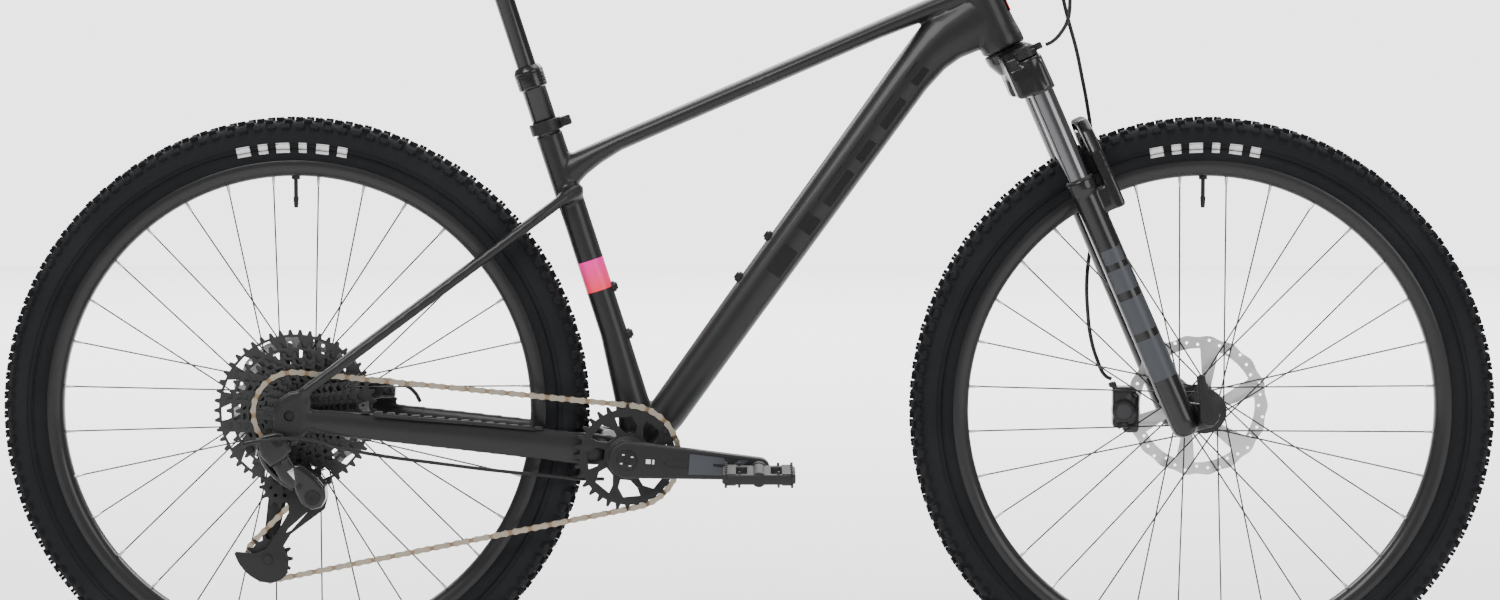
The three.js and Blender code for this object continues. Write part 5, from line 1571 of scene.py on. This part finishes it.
def floor_material(colour):
    return finish("studio_floor", tuple(colour), 0.62, dust=0.05, spread=0.08, grain=40.0, depth=0.01,
                  dust_colour=(0.62, 0.62, 0.61))


def area_light(name, place, aim, size, power):
    bpy.ops.object.light_add(type="AREA", location=place)
    light = bpy.context.object
    light.name = name
    light.data.shape = "RECTANGLE"
    light.data.size, light.data.size_y = size
    light.data.energy = power
    light.rotation_euler = (Vector(aim) - Vector(place)).to_track_quat("-Z", "Y").to_euler()


def make_stage():
    sizes = bpy.context.scene.bike_stage
    clear_selection()
    bpy.ops.mesh.primitive_plane_add(size=22, location=(0, -3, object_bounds()[0][2]))
    floor = bpy.context.object
    floor.name = "studio_floor"
    bpy.ops.object.transform_apply(location=True, rotation=True, scale=True)
    floor.data.materials.append(floor_material(sizes.floor))
    floor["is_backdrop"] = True
    world = bpy.data.worlds.new("studio")
    world.use_nodes = True
    nodes, links = world.node_tree.nodes, world.node_tree.links
    soft = nodes["Background"]
    soft.inputs["Color"].default_value = (1.0, 1.0, 1.0, 1)
    soft.inputs["Strength"].default_value = 0.42
    backdrop = nodes.new("ShaderNodeBackground")
    backdrop.inputs["Color"].default_value = (1.0, 1.0, 1.0, 1)
    backdrop.inputs["Strength"].default_value = 3.2
    mix = nodes.new("ShaderNodeMixShader")
    links.new(nodes.new("ShaderNodeLightPath").outputs["Is Camera Ray"], mix.inputs["Fac"])
    links.new(soft.outputs["Background"], mix.inputs[1])
    links.new(backdrop.outputs["Background"], mix.inputs[2])
    links.new(mix.outputs["Shader"], nodes["World Output"].inputs["Surface"])
    bpy.context.scene.world = world
    area_light("key", (-1.8, -2.6, 3.0), (0, 0, 0.45), (2.4, 1.6), sizes.light)
    area_light("fill", (2.6, -2.8, 1.6), (0.2, 0, 0.5), (2.0, 2.0), sizes.light * 0.42)
    area_light("top", (0.2, 0.4, 3.2), (0, 0, 0.4), (3.0, 1.6), sizes.light * 0.55)
    area_light("floor_wash", (0, 5.5, 4.5), (0, 6.0, 0), (12.0, 6.0), sizes.light * 14)
    bpy.ops.object.camera_add(location=CAMERA_AT, rotation=(math.pi / 2 - CAMERA_PITCH, 0, 0))
    camera = bpy.context.object
    camera.data.lens = CAMERA_LENS
    camera.data.sensor_width = 36
    camera.data.shift_y = CAMERA_SHIFT
    camera.data.dof.use_dof = False
    bpy.context.scene.camera = camera


# ---------------------------------------------------------------- add-on

class AddBikeStage(bpy.types.Operator):
    """Adds the floor, the soft lights and the camera"""
    bl_idname = "bike.add_stage"
    bl_label = "Stage"

    def execute(self, context):
        make_stage()
        return {"FINISHED"}


class AddBikeFrame(bpy.types.Operator):
    """Models the welded frame and its fittings"""
    bl_idname = "bike.add_frame"
    bl_label = "Frame"

    def execute(self, context):
        look = finishes()
        make_frame(look)
        make_frame_fittings(look)
        make_frame_bars(look)
        finish_nodes(look)
        return {"FINISHED"}


class AddBikeSeat(bpy.types.Operator):
    """Models the dropper seatpost, the rails and the padded saddle"""
    bl_idname = "bike.add_seat"
    bl_label = "Seatpost and saddle"

    def execute(self, context):
        look = finishes()
        make_post(look)
        make_saddle(look)
        return {"FINISHED"}


class AddBikeFork(bpy.types.Operator):
    """Models the suspension fork"""
    bl_idname = "bike.add_fork"
    bl_label = "Fork"

    def execute(self, context):
        look = finishes()
        make_fork_crown(look)
        make_fork_lowers(look)
        return {"FINISHED"}


class AddBikeWheels(bpy.types.Operator):
    """Models both wheels: tread, rim, hub, spokes and brake disc"""
    bl_idname = "bike.add_wheels"
    bl_label = "Wheels"

    def execute(self, context):
        look = finishes()
        for name, centre, hub, flanges in WHEELS:
            make_tyre(name, centre, look)
            make_tyre_bars(name, centre, look)
            make_rim(name, centre, look)
            make_hub_and_spokes(name, centre, look, hub, flanges)
            make_rotor(name, centre, look)
        return {"FINISHED"}


class AddBikeDrivetrain(bpy.types.Operator):
    """Models the cranks, chainring, chain, cassette, derailleur and pedals"""
    bl_idname = "bike.add_drivetrain"
    bl_label = "Drivetrain"

    def execute(self, context):
        look = finishes()
        make_cassette(look)
        make_chainring(look)
        make_cranks(look)
        make_pedals(look)
        make_derailleur(look)
        make_chain(look)
        return {"FINISHED"}


class AddBikeCockpit(bpy.types.Operator):
    """Models the stem, handlebar, grips, brake levers and shifter"""
    bl_idname = "bike.add_cockpit"
    bl_label = "Cockpit"

    def execute(self, context):
        look = finishes()
        make_stem_and_bar(look)
        make_controls(look)
        return {"FINISHED"}


class AddBikeBrakes(bpy.types.Operator):
    """Models the two brake calipers"""
    bl_idname = "bike.add_brakes"
    bl_label = "Brake calipers"

    def execute(self, context):
        make_calipers(finishes())
        return {"FINISHED"}


class AddBikeCables(bpy.types.Operator):
    """Models the hoses and housings and what guides them"""
    bl_idname = "bike.add_cables"
    bl_label = "Hoses and housings"

    def execute(self, context):
        make_cables(finishes())
        return {"FINISHED"}


STEPS = (AddBikeStage, AddBikeFrame, AddBikeSeat, AddBikeFork, AddBikeWheels, AddBikeDrivetrain,
         AddBikeCockpit, AddBikeBrakes, AddBikeCables)


class BikePanel(bpy.types.Panel):
    """Lists the pieces of the bike and the sizes behind them"""
    bl_idname = "VIEW3D_PT_bike"
    bl_label = "Mountain bike"
    bl_space_type = "VIEW_3D"
    bl_region_type = "UI"
    bl_category = "Bike"

    def draw(self, context):
        for step in STEPS:
            self.layout.operator(step.bl_idname)
        for name, group in SETTINGS.items():
            box = self.layout.box()
            for key in group.__annotations__:
                box.prop(getattr(context.scene, name), key)


SETTINGS = {"bike_frame": BikeFrameSizes, "bike_wheels": BikeWheelSizes, "bike_stage": BikeStageSizes}
CLASSES = (*SETTINGS.values(), *STEPS, BikePanel)


def register():
    for kind in CLASSES:
        bpy.utils.register_class(kind)
    for name, group in SETTINGS.items():
        setattr(bpy.types.Scene, name, bpy.props.PointerProperty(type=group))


def unregister():
    for name in SETTINGS:
        delattr(bpy.types.Scene, name)
    for kind in reversed(CLASSES):
        bpy.utils.unregister_class(kind)


def main():
    register()
    bpy.ops.bike.add_stage()
    bpy.ops.bike.add_frame()
    bpy.ops.bike.add_seat()
    bpy.ops.bike.add_fork()
    bpy.ops.bike.add_wheels()
    bpy.ops.bike.add_drivetrain()
    bpy.ops.bike.add_cockpit()
    bpy.ops.bike.add_brakes()
    bpy.ops.bike.add_cables()


if __name__ == "__main__":
    main()
